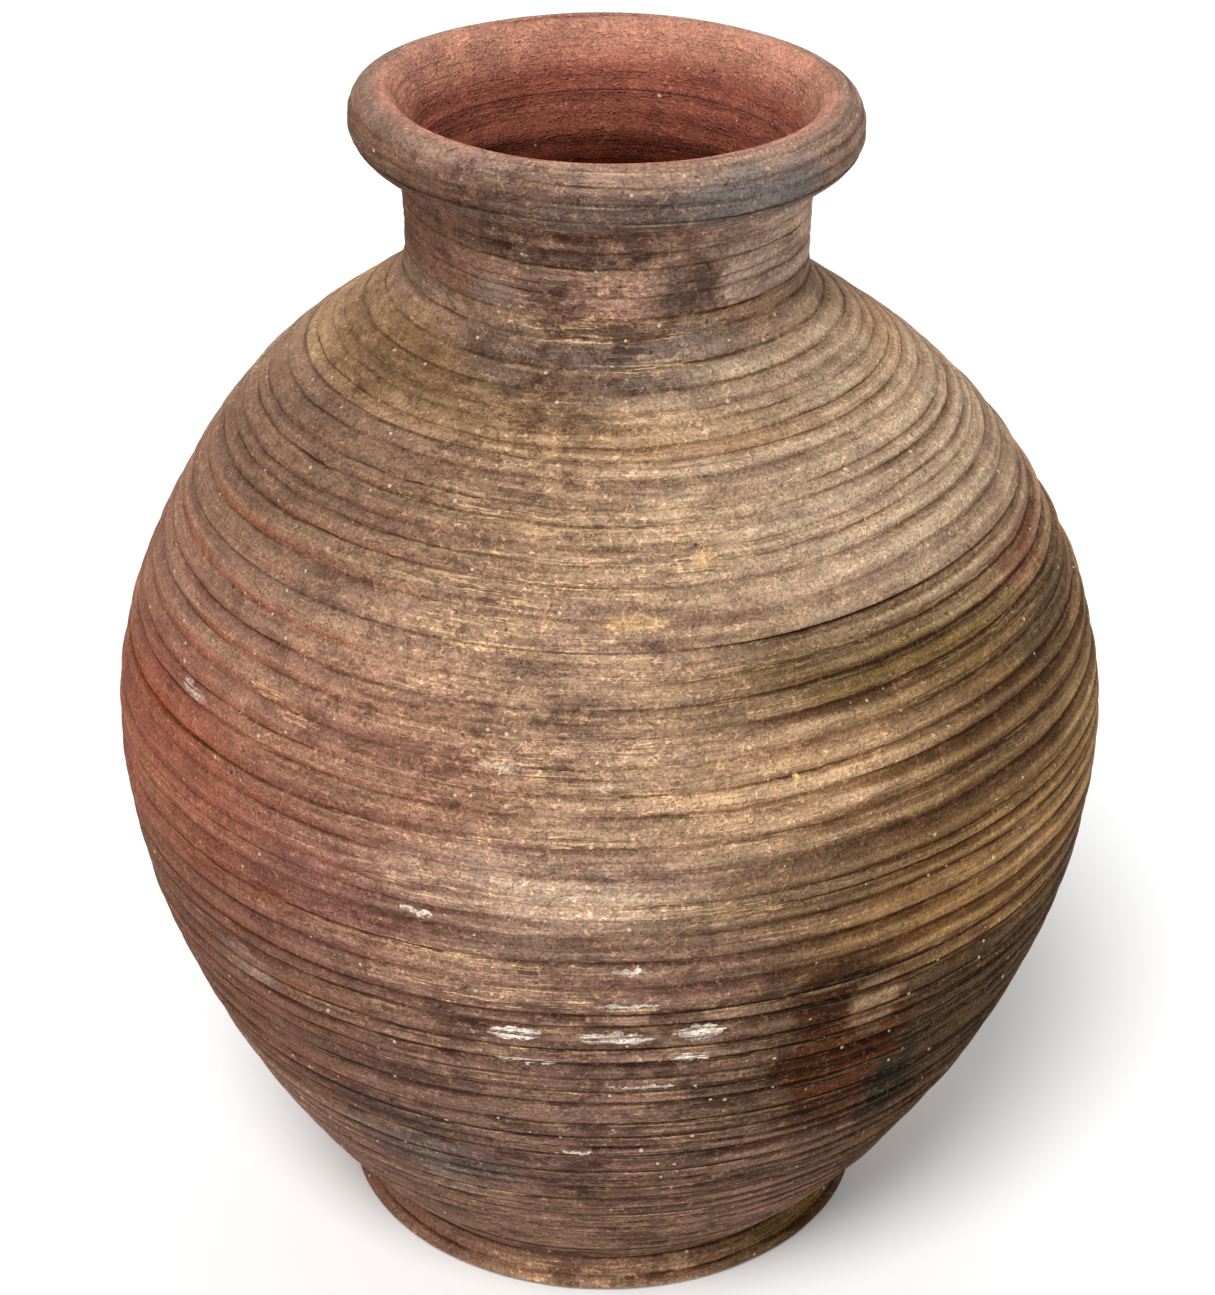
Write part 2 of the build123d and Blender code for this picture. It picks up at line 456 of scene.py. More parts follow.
@dataclass
class TurnedPiece:
    """A piece of clay turned on the wheel: its CAD section, spun and worked over."""

    node: str
    slot: str
    seed: int = 1
    ring_pitch: float = 15.0 * MM
    ring_depth: float = 1.5 * MM
    scrape_depth: float = 0.18 * MM
    wander: float = 2.2 * MM
    inner_spacing: float = 4.5 * MM
    inner_depth: float = 0.7 * MM
    joint_spacing: float = 4.0 * MM
    joint_closure: float = 0.62 * MM
    crack_gape: float = 0.8 * MM
    crack_fade: float = 4.0
    open_above: tuple[float, float] | None = None
    open_below: tuple[float, float] | None = None
    worn_front: float = 0.34
    right_boldness: float = 0.75
    upper_swell: float = 0.0
    healed_above: float = 0.0
    healed_below: float = 0.0
    coarseness: float = 0.8
    ringless_within: float = 0.0

    ring_drops = (0.0, 0.035, 0.08, 0.15, 0.25, 0.36, 0.48, 0.6, 0.71, 0.81, 0.9, 0.96)
    edge_easing = 9 * MM
    ringless_fade = 10 * MM
    ring_heights = (0.55, 1.45)
    boldness_range = (0.55, 1.2)
    smooth_angle = math.radians(60)
    ledge_starts = (4.0, 26.0)
    ledge_ends = (80.0, 110.0)
    scrape_length = 4.2 * MM
    finger_length = 16 * MM
    low_wall = (250 * MM, 370 * MM)
    high_wall = (400 * MM, 520 * MM)
    lips_end = (550 * MM, 620 * MM)
    map_columns = 3
    map_margin = 0.004

    def throwing_rings(self, length: float) -> np.ndarray:
        """Places the edges of the throwing rings along a face.

        Args:
            length: Length of the face.

        Returns:
            Distances of the edges, from 0 to the length.
        """
        draw = np.random.default_rng(self.seed)
        count = max(1, round(length / self.ring_pitch))
        heights = draw.uniform(*self.ring_heights, count)
        return np.concatenate([[0.0], np.cumsum(heights)]) * length / heights.sum()

    def marks_on_face(self, length: float) -> tuple[np.ndarray, np.ndarray, np.ndarray]:
        """Places the lines of the outer face, close together at the edges of its throwing rings.

        Args:
            length: Length of the face from its lower edge to its upper one.

        Returns:
            Distances along the face, which throwing ring each is on, and how far down that ring it lies.
        """
        edges = self.throwing_rings(length)
        marks, rings, drops = [], [], []
        for index, (low, high) in enumerate(zip(edges, edges[1:])):
            marks += [high - (high - low) * drop for drop in reversed(self.ring_drops)]
            drops += list(reversed(self.ring_drops))
            rings += [index] * len(self.ring_drops)
        return np.array([0.0, *marks]), np.array([0, *rings]), np.array([1.0, *drops])

    def outer_side(self, sides: list[Side]) -> int:
        """Picks the side that shows from outside: the one that climbs most."""
        return max(range(len(sides)), key=lambda index: sides[index].rise)

    def lines(self) -> Lines:
        """Resamples the CAD section for spinning.

        Returns:
            The lines of the piece, in order round its section.
        """
        section = Section(self.node)
        sides = section.sides()
        outer = self.outer_side(sides)
        inner = min(range(len(sides)), key=lambda index: sides[index].rise)
        points, faces, rings, drops, slacks = [], [], [], [], []
        ends_of_faces = []
        for index, side in enumerate(sides):
            length = side.marks[-1]
            if index == outer:
                marks, ring, drop = self.marks_on_face(length)
            else:
                spacing = self.inner_spacing if index == inner else self.joint_spacing
                marks = np.linspace(0.0, length, max(2, round(length / spacing)) + 1)
                ring, drop = np.zeros(len(marks), int), np.full(len(marks), 0.5)
            last_of_open = not section.closed and index == len(sides) - 1
            keep = slice(None) if last_of_open else slice(0, -1)
            face = Face.OUTER if index == outer else Face.INNER if index == inner else Face.JOINT
            slack = np.minimum(marks, length - marks) / self.edge_easing
            points.append(side.at(marks, smooth=index in (outer, inner))[keep])
            faces.append(np.full(len(marks), face.value)[keep])
            rings.append(ring[keep])
            drops.append(drop[keep])
            slacks.append(np.clip(slack, 0.0, 1.0)[keep])
            if face is not Face.JOINT and not last_of_open:
                ends_of_faces.append((sum(map(len, points)), face, ring[-1], drop[-1]))
        whole = np.concatenate(points)
        total = len(whole)
        face_of, ring_of = np.concatenate(faces), np.concatenate(rings)
        drop_of, slack_of = np.concatenate(drops), np.concatenate(slacks)
        for place, face, ring, drop in ends_of_faces:
            face_of[place % total] = face.value
            ring_of[place % total] = ring
            drop_of[place % total] = drop
        steps = np.hypot(*(np.roll(whole, -1, axis=0) - whole).T)
        run = np.concatenate([[0.0], np.cumsum(steps[:-1])])
        tangent = self._tangents(whole, face_of)
        return Lines(whole, run, face_of, ring_of, drop_of, slack_of, tangent)

    @staticmethod
    def _tangents(points: np.ndarray, face: np.ndarray) -> np.ndarray:
        """Finds the way along the section at each line, kept on its own face at the corners.

        Args:
            points: The section's points in order.
            face: What each point lies on.

        Returns:
            Unit directions.
        """
        before, after = np.roll(points, 1, axis=0), np.roll(points, -1, axis=0)
        same_before = (np.roll(face, 1) == face)[:, None]
        same_after = (np.roll(face, -1) == face)[:, None]
        way = np.where(same_after, after, points) - np.where(same_before, before, points)
        return way / np.maximum(np.hypot(*way.T), 1e-9)[:, None]

    def spin(self, lines: Lines) -> bpy.types.Object:
        """Spins the section round the jar's axis.

        Args:
            lines: The lines of the piece.

        Returns:
            The turned piece, with the number of its line kept on every vertex.
        """
        bpy.ops.object.select_all(action="DESELECT")
        bpy.ops.mesh.primitive_circle_add(vertices=len(lines.points), fill_type="NOTHING")
        piece = bpy.context.object
        piece.name = piece.data.name = f"{self.node}_clay"
        flat = np.zeros((len(lines.points), 3))
        flat[:, 0] = lines.points[:, 0]
        flat[:, 2] = lines.points[:, 1]
        piece.data.vertices.foreach_set("co", flat.ravel())
        number = piece.data.attributes.new("line", "INT", "POINT")
        number.data.foreach_set("value", np.arange(len(flat), dtype=np.int32))
        wheel = piece.modifiers.new("wheel", "SCREW")
        wheel.axis = "Z"
        wheel.angle = 2 * math.pi
        wheel.steps = wheel.render_steps = SPIN_STEPS
        wheel.use_merge_vertices = True
        wheel.merge_threshold = 0.001 * MM
        bpy.ops.object.modifier_apply(modifier=wheel.name)
        bpy.ops.object.mode_set(mode="EDIT")
        bpy.ops.mesh.select_all(action="SELECT")
        bpy.ops.mesh.remove_doubles(threshold=0.02 * MM)
        bpy.ops.mesh.delete_loose(use_verts=True, use_edges=True, use_faces=False)
        bpy.ops.mesh.select_all(action="SELECT")
        bpy.ops.mesh.normals_make_consistent(inside=False)
        bpy.ops.object.mode_set(mode="OBJECT")
        return piece

    def ring_strength(self, angle: np.ndarray, ring: np.ndarray) -> np.ndarray:
        """Works out how bold each throwing ring is along its way round the jar.

        Args:
            angle: Angle of each vertex round the jar.
            ring: Which throwing ring each vertex is on.

        Returns:
            The depth of the ring at each vertex, as a share of the usual one.
        """
        draw = np.random.default_rng(self.seed + 50)
        count = int(ring.max()) + 1
        boldness = draw.uniform(*self.boldness_range, count)
        strength = np.zeros(len(angle))
        for number in range(count):
            here = ring == number
            broad = Ripple(self.seed * 100 + number, 1, 7, 0.0).at(angle[here], 0.0)
            broken = Ripple(self.seed * 100 + number + 40, 9, 30, 0.0).at(angle[here], 0.0)
            strength[here] = boldness[number] * np.clip(0.85 + 0.2 * broad + 0.12 * broken, 0.2, 1.4)
        left, centre, right = (zone.share(angle) for zone in Zone)
        bold = right * self.right_boldness
        strength += 0.8 * bold * np.clip(1.0 - strength, 0, None)
        return strength * (0.8 + 0.2 * left + 0.5 * bold - self.worn_front * centre)

    def relief(self, angle: np.ndarray, drop: np.ndarray, ring: np.ndarray) -> np.ndarray:
        """Gives the section of a throwing ring: a round ridge, full below its middle, between sharp hollows.

        Args:
            angle: Angle of each vertex round the jar.
            drop: How far down its ring each vertex lies.
            ring: Which throwing ring each vertex is on.

        Returns:
            How far out each vertex stands, from 0 in a hollow to about 1 on a ridge.
        """
        ridge = np.sin(np.clip(drop, 0, 1) ** 1.45 * math.pi)
        turns = 2.1 * drop + 0.37 * ring + 0.16 * Ripple(self.seed + 30, 1, 6, 0.0).at(angle, 0.0)
        return np.clip(ridge * (0.9 + 0.22 * np.sin(2 * math.pi * turns)), 0, None)

    def slide(self, angle: np.ndarray, run: np.ndarray) -> np.ndarray:
        """Works out how far the rings wander up and down the wall.

        Args:
            angle: Angle of each vertex round the jar.
            run: How far along the wall each vertex lies.

        Returns:
            Distances along the wall.
        """
        drift = 0.45 * Ripple(self.seed + 7, 1, 4, 0.3).at(angle, run)
        drift += 0.1 * Ripple(self.seed + 8, 9, 32, 0.12).at(angle, run)
        drift += 0.05 * Ripple(self.seed + 9, 60, 140, 0.03).at(angle, run)
        return self.wander * drift

    def closing(self, lines: Lines, of: np.ndarray, angle: np.ndarray) -> np.ndarray:
        """Finds how far the edges of the faces reach out to close the joints that show.

        Args:
            lines: The lines of the piece.
            of: Which line each vertex is on.
            angle: Angle of each vertex round the jar.

        Returns:
            Distances along the wall, backwards where a joint has cracked open.
        """
        reach = np.zeros(len(of))
        for face in (Face.OUTER, Face.INNER):
            on = lines.face == face.value
            for edge, way, opened in (
                (on & ~np.roll(on, 1), -1.0, self.open_below),
                (on & ~np.roll(on, -1), 1.0, self.open_above),
            ):
                shut = np.ones(len(of))
                if opened and face is Face.OUTER:
                    start, stop = opened
                    starting = smoothstep(start, start + self.crack_fade, angle)
                    shut -= starting * (1 - smoothstep(stop - self.crack_fade, stop, angle))
                reach += way * edge[of] * (self.joint_closure * shut - self.crack_gape * (1 - shut))
        return reach

    def surface(self, lines: Lines, of: np.ndarray, angle: np.ndarray) -> Surface:
        """Gathers what is known of every vertex.

        Args:
            lines: The lines of the piece.
            of: Which line each vertex is on.
            angle: Angle of each vertex round the jar.

        Returns:
            The surface, with the boldness and the relief of its throwing rings.
        """
        ring, drop, slack = lines.ring[of], lines.drop[of], lines.slack[of]
        outer = lines.face[of] == Face.OUTER.value
        inner = lines.face[of] == Face.INNER.value
        ring_start = self.ringless_within
        ringed = smoothstep(ring_start, ring_start + self.ringless_fade, lines.points[of, 0])
        smoothed = 1 - smoothstep(*self.ledge_starts, angle) * (1 - smoothstep(*self.ledge_ends, angle))
        at_top = outer * (ring == ring.max()) * (1 - slack) * smoothed
        at_foot = outer * (ring == 0) * (1 - slack) * smoothed
        healed = self.healed_above * at_top + self.healed_below * at_foot
        strength = self.ring_strength(angle, ring) * (1 - healed)
        relief = self.relief(angle, drop, ring)
        return Surface(angle, lines.run[of], drop, slack, outer, inner, ringed, at_top, strength, relief)

    def pushed(self, surface: Surface) -> np.ndarray:
        """Finds how far hands and tools pushed the clay out of its drawn face.

        Args:
            surface: What is known of every vertex.

        Returns:
            Distances out of the clay, or into it where they are negative.
        """
        scrape = Ripple(self.seed + 20, 0, 3, self.scrape_length, 14).at(surface.angle, surface.run)
        finger = Ripple(self.seed + 21, 0, 2, self.finger_length, 12).at(surface.angle, surface.run)
        ringing = self.ring_depth * surface.strength * (surface.relief - 0.55) * surface.ringed
        scraping = self.scrape_depth * scrape * (0.3 + 0.7 * surface.ringed)
        outwards = surface.outer * ringing * (0.4 + 0.6 * surface.slack)
        outwards += surface.outer * scraping * np.clip(0.4 + surface.slack, 0, 1)
        outwards += surface.inner * self.inner_depth * finger * surface.slack
        return outwards + self.upper_swell * surface.at_top

    def finish_values(self, surface: Surface, height: np.ndarray) -> dict[str, np.ndarray]:
        """Works out what the finishes need to know of every vertex.

        Args:
            surface: What is known of every vertex.
            height: Heights of the vertices above the ground.

        Returns:
            Values by the names that the finishes read.
        """
        outer, inner, ringed = surface.outer, surface.inner, surface.ringed
        drop, relief = surface.drop, surface.relief
        left, centre, right = (zone.share(surface.angle) for zone in Zone)
        bold = right * self.right_boldness
        low = 1 - smoothstep(*self.low_wall, height)
        high = smoothstep(*self.high_wall, height)
        shown = outer * ringed * np.clip(surface.strength, 0, 1.1)
        # How strong the painted shade in the ring hollows is: strongest on the right and low down
        banded = 0.7 - 0.4 * left * (1 - low) - 0.1 * centre + 0.45 * bold + 0.3 * low
        streaked = self.coarseness - 0.4 * left + 0.35 * centre - 0.3 * right * (1 - low) - 0.2 * low
        spots = 0.15 + 0.85 * bump(-38, 34, surface.angle) * high + 0.4 * centre + 0.3 * low
        lipped = left * (1 - smoothstep(*self.lips_end, height))
        return {
            "run": surface.run,
            # crest: painted highlight on the crests of the throwing rings
            "crest": shown * smoothstep(0.5, 0.95, relief),
            # shade: painted shade in the hollows of the throwing rings
            "shade": shown * banded * (1 - smoothstep(0.1 + 0.28 * right, 0.66 + 0.1 * right, relief)),
            # groove: painted shadow along the bottom of each ring's groove
            "groove": shown * (1 - smoothstep(0.02, 0.2 - 0.1 * left, relief)),
            # ledge: a pale line under each groove, partly ochre dust and partly painted highlight on the
            # ledge's top
            "ledge": shown * bump(0.18, 0.09, drop) * (0.3 + 0.7 * centre),
            # edge: painted highlight along the lower edge of each ring
            "edge": shown * bump(0.9, 0.05, drop) * (1 - 0.7 * left * (1 - low)) * (0.6 + 0.4 * low),
            "lip": shown * bump(0.88, 0.12, drop) * lipped,
            "coarse": streaked * (1 - 0.75 * inner) * (0.2 + 0.8 * ringed),
            "spotted": outer * ringed * np.clip(spots, 0, 1),
            "dashed": outer * self.worn_front * (0.7 + 2.2 * centre),
            "inside": inner * 1.0,
        }

    def work(self, piece: bpy.types.Object, lines: Lines, hand: PotterHand) -> None:
        """Moves the spun clay as hands and tools did, and keeps what the finishes need on its vertices.

        Args:
            piece: The spun piece.
            lines: The lines that it was spun from.
            hand: How the whole jar is bent.
        """
        mesh = piece.data
        places = vertex_places(mesh)
        of = line_numbers(mesh)
        angle = np.degrees(np.arctan2(places[:, 0], -places[:, 1]))
        surface = self.surface(lines, of, angle)
        outwards = self.pushed(surface)
        along = surface.outer * surface.slack * self.slide(angle, surface.run)
        along += self.closing(lines, of, angle)
        way, out = lines.tangent[of], lines.normal[of]
        radius = lines.points[of, 0] + way[:, 0] * along + out[:, 0] * outwards
        height = lines.points[of, 1] + way[:, 1] * along + out[:, 1] * outwards
        radius[lines.points[of, 0] < 0.01 * MM] = 0.0
        around = np.radians(angle)
        moved = np.stack([radius * np.sin(around), -radius * np.cos(around), height], axis=1)
        mesh.vertices.foreach_set("co", hand.sway(moved).ravel())
        for name, values in self.finish_values(surface, height).items():
            kept = mesh.attributes.new(name, "FLOAT", "POINT")
            kept.data.foreach_set("value", values.astype(np.float32))
        mesh.update()

    def unroll(self, piece: bpy.types.Object, lines: Lines) -> None:
        """Lays the piece out flat, in strips side by side, so that its finish keeps an even grain.

        Args:
            piece: The worked piece.
            lines: The lines that it was spun from.
        """
        mesh = piece.data
        corners = np.zeros(len(mesh.loops), np.int32)
        mesh.loops.foreach_get("vertex_index", corners)
        sizes = np.zeros(len(mesh.polygons), np.int32)
        mesh.polygons.foreach_get("loop_total", sizes)
        owner = np.repeat(np.arange(len(sizes)), sizes)
        of = line_numbers(mesh)
        places = vertex_places(mesh)[corners, :2]
        middle = np.zeros((len(sizes), 2))
        np.add.at(middle, owner, places)
        strips = self.map_columns**2
        wedge = 360.0 / strips
        face_angle = np.degrees(np.arctan2(middle[:, 0], -middle[:, 1])) % 360.0
        strip = np.minimum((face_angle // wedge).astype(int), strips - 1)[owner]
        angle = np.degrees(np.arctan2(places[:, 0], -places[:, 1]))
        across = 0.5 + turned_to(0, angle - (strip + 0.5) * wedge) / wedge
        total = lines.run[-1] + np.hypot(*(lines.points[0] - lines.points[-1]))
        up = lines.run[of[corners]] / total
        highest = np.zeros(len(sizes))
        np.maximum.at(highest, owner, up)
        up = np.where((of[corners] == 0) & (highest[owner] > 0.5), 1.0, up)
        inset = 1.0 - 2 * self.map_margin
        flat = np.stack([np.clip(across, 0, 1), up], axis=1) * inset + self.map_margin
        flat[:, 0] += strip % self.map_columns
        flat[:, 1] += strip // self.map_columns
        layer = mesh.uv_layers.new(name="OFBake")
        layer.data.foreach_set("uv", (flat / self.map_columns).ravel())

    def build(self, hand: PotterHand) -> bpy.types.Object:
        """Makes the piece and puts it in place of its CAD node.

        Args:
            hand: How the whole jar is bent.

        Returns:
            The finished piece, without a material.
        """
        lines = self.lines()
        piece = self.spin(lines)
        self.work(piece, lines, hand)
        self.unroll(piece, lines)
        select_only(piece)
        bpy.ops.object.shade_smooth_by_angle(angle=self.smooth_angle)
        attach(piece, BODY)
        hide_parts(self.node)
        log.info("%s: %d faces", piece.name, len(piece.data.polygons))
        return piece

    def dress(self, piece: bpy.types.Object, finishes: dict[str, bpy.types.Material]) -> None:
        """Gives the finished piece the material of its slot."""
        piece.data.materials.append(finishes[self.slot])


@dataclass
class RolledRim(TurnedPiece):
    """The rolled rim, with fine tool lines in place of throwing rings."""

    ring_depth: float = 0.25 * MM
    scrape_depth: float = 0.26 * MM
    line_spacing: float = 1.2 * MM

    def marks_on_face(self, length: float) -> tuple[np.ndarray, np.ndarray, np.ndarray]:
        """Places even lines along the roll, with a shallow ring for each run of them.

        Args:
            length: Length of the roll's face.

        Returns:
            Distances along the face, which ring each is on, and how far down that ring it lies.
        """
        marks = np.linspace(0.0, length, round(length / self.line_spacing) + 1)
        edges = self.throwing_rings(length)
        ring = np.clip(np.searchsorted(edges, marks, side="right") - 1, 0, len(edges) - 2)
        drop = (edges[ring + 1] - marks) / (edges[ring + 1] - edges[ring])
        return marks, ring, drop

    def outer_side(self, sides: list[Side]) -> int:
        """Picks the roll: the longest side."""
        return max(range(len(sides)), key=lambda index: sides[index].marks[-1])


@dataclass
class Lute(TurnedPiece):
    """The thin bed of slip in a joint, left as it was spread."""

    joint_spacing: float = 3.0 * MM
    ring_depth: float = 0.0
    scrape_depth: float = 0.0
    inner_depth: float = 0.0
    wander: float = 0.0
    joint_closure: float = 0.0

    def marks_on_face(self, length: float) -> tuple[np.ndarray, np.ndarray, np.ndarray]:
        """Places even lines along one side of the bed.

        Args:
            length: Length of the side.

        Returns:
            Distances along the side, and no throwing rings.
        """
        marks = np.linspace(0.0, length, max(2, round(length / self.joint_spacing)) + 1)
        return marks, np.zeros(len(marks), int), np.full(len(marks), 0.5)


class Bench:
    """A node tree that is being wired."""

    def __init__(self, tree: bpy.types.NodeTree) -> None:
        """Takes the tree to wire."""
        self.tree = tree

    def node(self, kind: str, **settings: object) -> bpy.types.Node:
        """Adds a node and sets its properties."""
        node = self.tree.nodes.new(kind)
        for name, value in settings.items():
            setattr(node, name, value)
        return node

    def feed(self, socket: Socket, value: object) -> None:
        """Links a socket to another one, or sets its own value."""
        if isinstance(value, bpy.types.NodeSocket):
            self.tree.links.new(value, socket)
        else:
            socket.default_value = value

    def math(self, operation: str, first: object, second: object = 0.0) -> Socket:
        """Works out one value from two.

        Args:
            operation: Name of the Math node's operation.
            first: A socket or a number.
            second: A socket or a number.

        Returns:
            The result's socket.
        """
        node = self.node("ShaderNodeMath", operation=operation)
        self.feed(node.inputs[0], first)
        self.feed(node.inputs[1], second)
        return node.outputs[0]

    def product(self, *values: object) -> Socket:
        """Multiplies sockets and numbers, in order.

        Args:
            values: Two or more of them, or one socket.

        Returns:
            The result's socket.
        """
        result = values[0]
        for value in values[1:]:
            result = self.math("MULTIPLY", result, value)
        return result

    def remap(
        self, value: object, low: object, high: object, to_low: float = 0.0, to_high: float = 1.0
    ) -> Socket:
        """Spreads a range of values smoothly over another range.

        Args:
            value: The values.
            low: Where the range starts.
            high: Where the range ends.
            to_low: What the start becomes.
            to_high: What the end becomes.

        Returns:
            The result's socket.
        """
        node = self.node("ShaderNodeMapRange", interpolation_type="SMOOTHSTEP")
        names = ("Value", "From Min", "From Max", "To Min", "To Max")
        for name, entry in zip(names, (value, low, high, to_low, to_high)):
            self.feed(node.inputs[name], entry)
        return node.outputs[0]

    def mix(self, share: object, first: object, second: object, blend: str = "MIX") -> Socket:
        """Mixes two colours.

        Args:
            share: How much of the second colour there is.
            first: A colour or its socket.
            second: A colour or its socket.
            blend: Name of the Mix node's way of blending.

        Returns:
            The mixed colour's socket.
        """
        node = self.node("ShaderNodeMix", data_type="RGBA", blend_type=blend, clamp_factor=True)
        self.feed(node.inputs[0], share)
        self.feed(node.inputs[6], first)
        self.feed(node.inputs[7], second)
        return node.outputs[2]

    def lay(self, colour: Socket, paint: object, *shares: object) -> Socket:
        """Lays a paint over a colour.

        Args:
            colour: The colour's socket.
            paint: The paint's colour or its socket.
            shares: Sockets and numbers whose product is how much of the paint there is.

        Returns:
            The painted colour's socket.
        """
        return self.mix(self.product(*shares), colour, paint)

    def tinted(self, colour: Socket, tint: object) -> Socket:
        """Multiplies a colour by a tint."""
        return self.mix(1.0, colour, tint, "MULTIPLY")

    def noise(self, vector: Socket, scale: float, detail: float, roughness: float = 0.5) -> bpy.types.Node:
        """Adds a noise texture on a vector."""
        node = self.node("ShaderNodeTexNoise")
        self.feed(node.inputs["Vector"], vector)
        self.feed(node.inputs["Scale"], scale)
        self.feed(node.inputs["Detail"], detail)
        self.feed(node.inputs["Roughness"], roughness)
        return node

    def vector(self, x: object, y: object, z: object) -> Socket:
        """Puts three values together."""
        node = self.node("ShaderNodeCombineXYZ")
        for socket, value in zip(node.inputs, (x, y, z)):
            self.feed(socket, value)
        return node.outputs[0]

    def parts(self, vector: Socket) -> tuple[Socket, Socket, Socket]:
        """Takes a vector apart."""
        node = self.node("ShaderNodeSeparateXYZ")
        self.feed(node.inputs[0], vector)
        return node.outputs[0], node.outputs[1], node.outputs[2]

    def use(self, group: bpy.types.NodeTree, **inputs: object) -> bpy.types.Node:
        """Places a shared effect and feeds its inputs by name."""
        node = self.node("ShaderNodeGroup", node_tree=group)
        for name, value in inputs.items():
            self.feed(node.inputs[name], value)
        return node


class Effect:
    """A shared effect: a shader node group with named inputs and outputs."""

    def __init__(self, name: str, inputs: dict[str, str], outputs: tuple[str, ...]) -> None:
        """Makes the group and its sockets.

        Args:
            name: Name of the effect.
            inputs: Kind of socket by name.
            outputs: Names of the values that it puts out.
        """
        self.tree = bpy.data.node_groups.new(name, "ShaderNodeTree")
        for entry, kind in inputs.items():
            self.tree.interface.new_socket(entry, in_out="INPUT", socket_type=kind)
        for entry in outputs:
            self.tree.interface.new_socket(entry, in_out="OUTPUT", socket_type="NodeSocketFloat")
        self.bench = Bench(self.tree)
        self.given = self.bench.node("NodeGroupInput").outputs
        self.result = self.bench.node("NodeGroupOutput").inputs


def tool_streaks() -> bpy.types.NodeTree:
    """Streaks that run round the jar at three widths, as wet hands and cloths leave.

    Returns:
        The effect. It takes Object coordinates and the run along the wall.
    """
    inputs = {"Vector": "NodeSocketVector", "Run": "NodeSocketFloat"}
    effect = Effect("tool_streaks", inputs, ("Broad", "Fine", "Hair"))
    bench = effect.bench
    x, y, _ = bench.parts(effect.given["Vector"])
    widths = (("Broad", 4.0, 36.0, 3.0), ("Fine", 14.0, 230.0, 3.0), ("Hair", 34.0, 740.0, 2.0))
    for name, around, across, detail in widths:
        stretched = bench.vector(
            bench.product(x, around),
            bench.product(y, around),
            bench.product(effect.given["Run"], across),
        )
        bench.feed(effect.result[name], bench.noise(stretched, 1.0, detail, 0.6).outputs[0])
    return effect.tree


def straw_marks() -> bpy.types.NodeTree:
    """Short curled marks that burnt-out straw and grit leave in the clay.

    Returns:
        The effect. It takes Object coordinates and puts out pale marks, dark marks and a height.
    """
    effect = Effect("straw_marks", {"Vector": "NodeSocketVector"}, ("Pale", "Dark", "Height"))
    bench = effect.bench
    x, y, z = bench.parts(effect.given["Vector"])
    place = bench.vector(x, y, bench.product(z, 1.35))
    marks = {}
    kinds = (("Pale", 170.0, 0.5, 0.055, 0.44), ("Dark", 205.0, 0.48, 0.055, 0.44))
    for name, scale, level, width, gap in kinds:
        field = bench.noise(place, scale, 1.0, 0.5).outputs[0]
        near = bench.math("ABSOLUTE", bench.math("SUBTRACT", field, level))
        line = bench.remap(near, 0.0, width, 1.0, 0.0)
        sparse = bench.remap(bench.noise(place, scale * 0.7, 1.0).outputs[0], gap, gap + 0.08)
        marks[name] = bench.product(line, sparse)
        bench.feed(effect.result[name], marks[name])
    bench.feed(effect.result["Height"], bench.math("SUBTRACT", marks["Pale"], marks["Dark"]))
    return effect.tree


def grit() -> bpy.types.NodeTree:
    """Scattered round grains in the clay.

    Returns:
        The effect. It takes coordinates, a scale, the share of cells that hold a grain and its size.
    """
    numbers = ("Scale", "Share", "Size")
    inputs = {"Vector": "NodeSocketVector", **{name: "NodeSocketFloat" for name in numbers}}
    effect = Effect("grit", inputs, ("Mask",))
    bench = effect.bench
    cells = bench.node("ShaderNodeTexVoronoi")
    bench.feed(cells.inputs["Vector"], effect.given["Vector"])
    bench.feed(cells.inputs["Scale"], effect.given["Scale"])
    chance, size, _ = bench.parts(cells.outputs["Color"])
    held = bench.math("LESS_THAN", chance, effect.given["Share"])
    spread = bench.math("ADD", bench.product(size, 0.8), 0.35)
    reach = bench.product(effect.given["Size"], spread)
    near = bench.remap(bench.math("DIVIDE", cells.outputs["Distance"], reach), 0.6, 1.0, 1.0, 0.0)
    bench.feed(effect.result["Mask"], bench.product(near, held))
    return effect.tree


def weather_patch() -> bpy.types.NodeTree:
    """One patch of colour on the skin of the jar.

    Returns:
        The effect. It takes ragged Object coordinates and puts out how much of the patch shows.
    """
    vectors = ("Vector", "Centre", "Turn", "Reach")
    numbers = ("Softness", "Streak", "Streaky", "Strength")
    inputs = {name: "NodeSocketVector" for name in vectors}
    inputs |= {name: "NodeSocketFloat" for name in numbers}
    effect = Effect("weather_patch", inputs, ("Mask",))
    bench, given = effect.bench, effect.given
    local = bench.node("ShaderNodeMapping", vector_type="TEXTURE")
    for socket, name in zip(local.inputs, vectors):
        bench.feed(socket, given[name])
    away = bench.node("ShaderNodeVectorMath", operation="LENGTH")
    bench.feed(away.inputs[0], local.outputs[0])
    inner_edge = bench.math("SUBTRACT", 1.0, given["Softness"])
    outer_edge = bench.math("ADD", 1.0, given["Softness"])
    mask = bench.remap(away.outputs["Value"], inner_edge, outer_edge, 1.0, 0.0)
    gaps = bench.product(bench.remap(given["Streak"], 0.4, 0.6), given["Streaky"])
    whole = bench.math("SUBTRACT", given["Strength"], bench.product(gaps, given["Strength"]))
    bench.feed(effect.result["Mask"], bench.product(mask, whole))
    return effect.tree


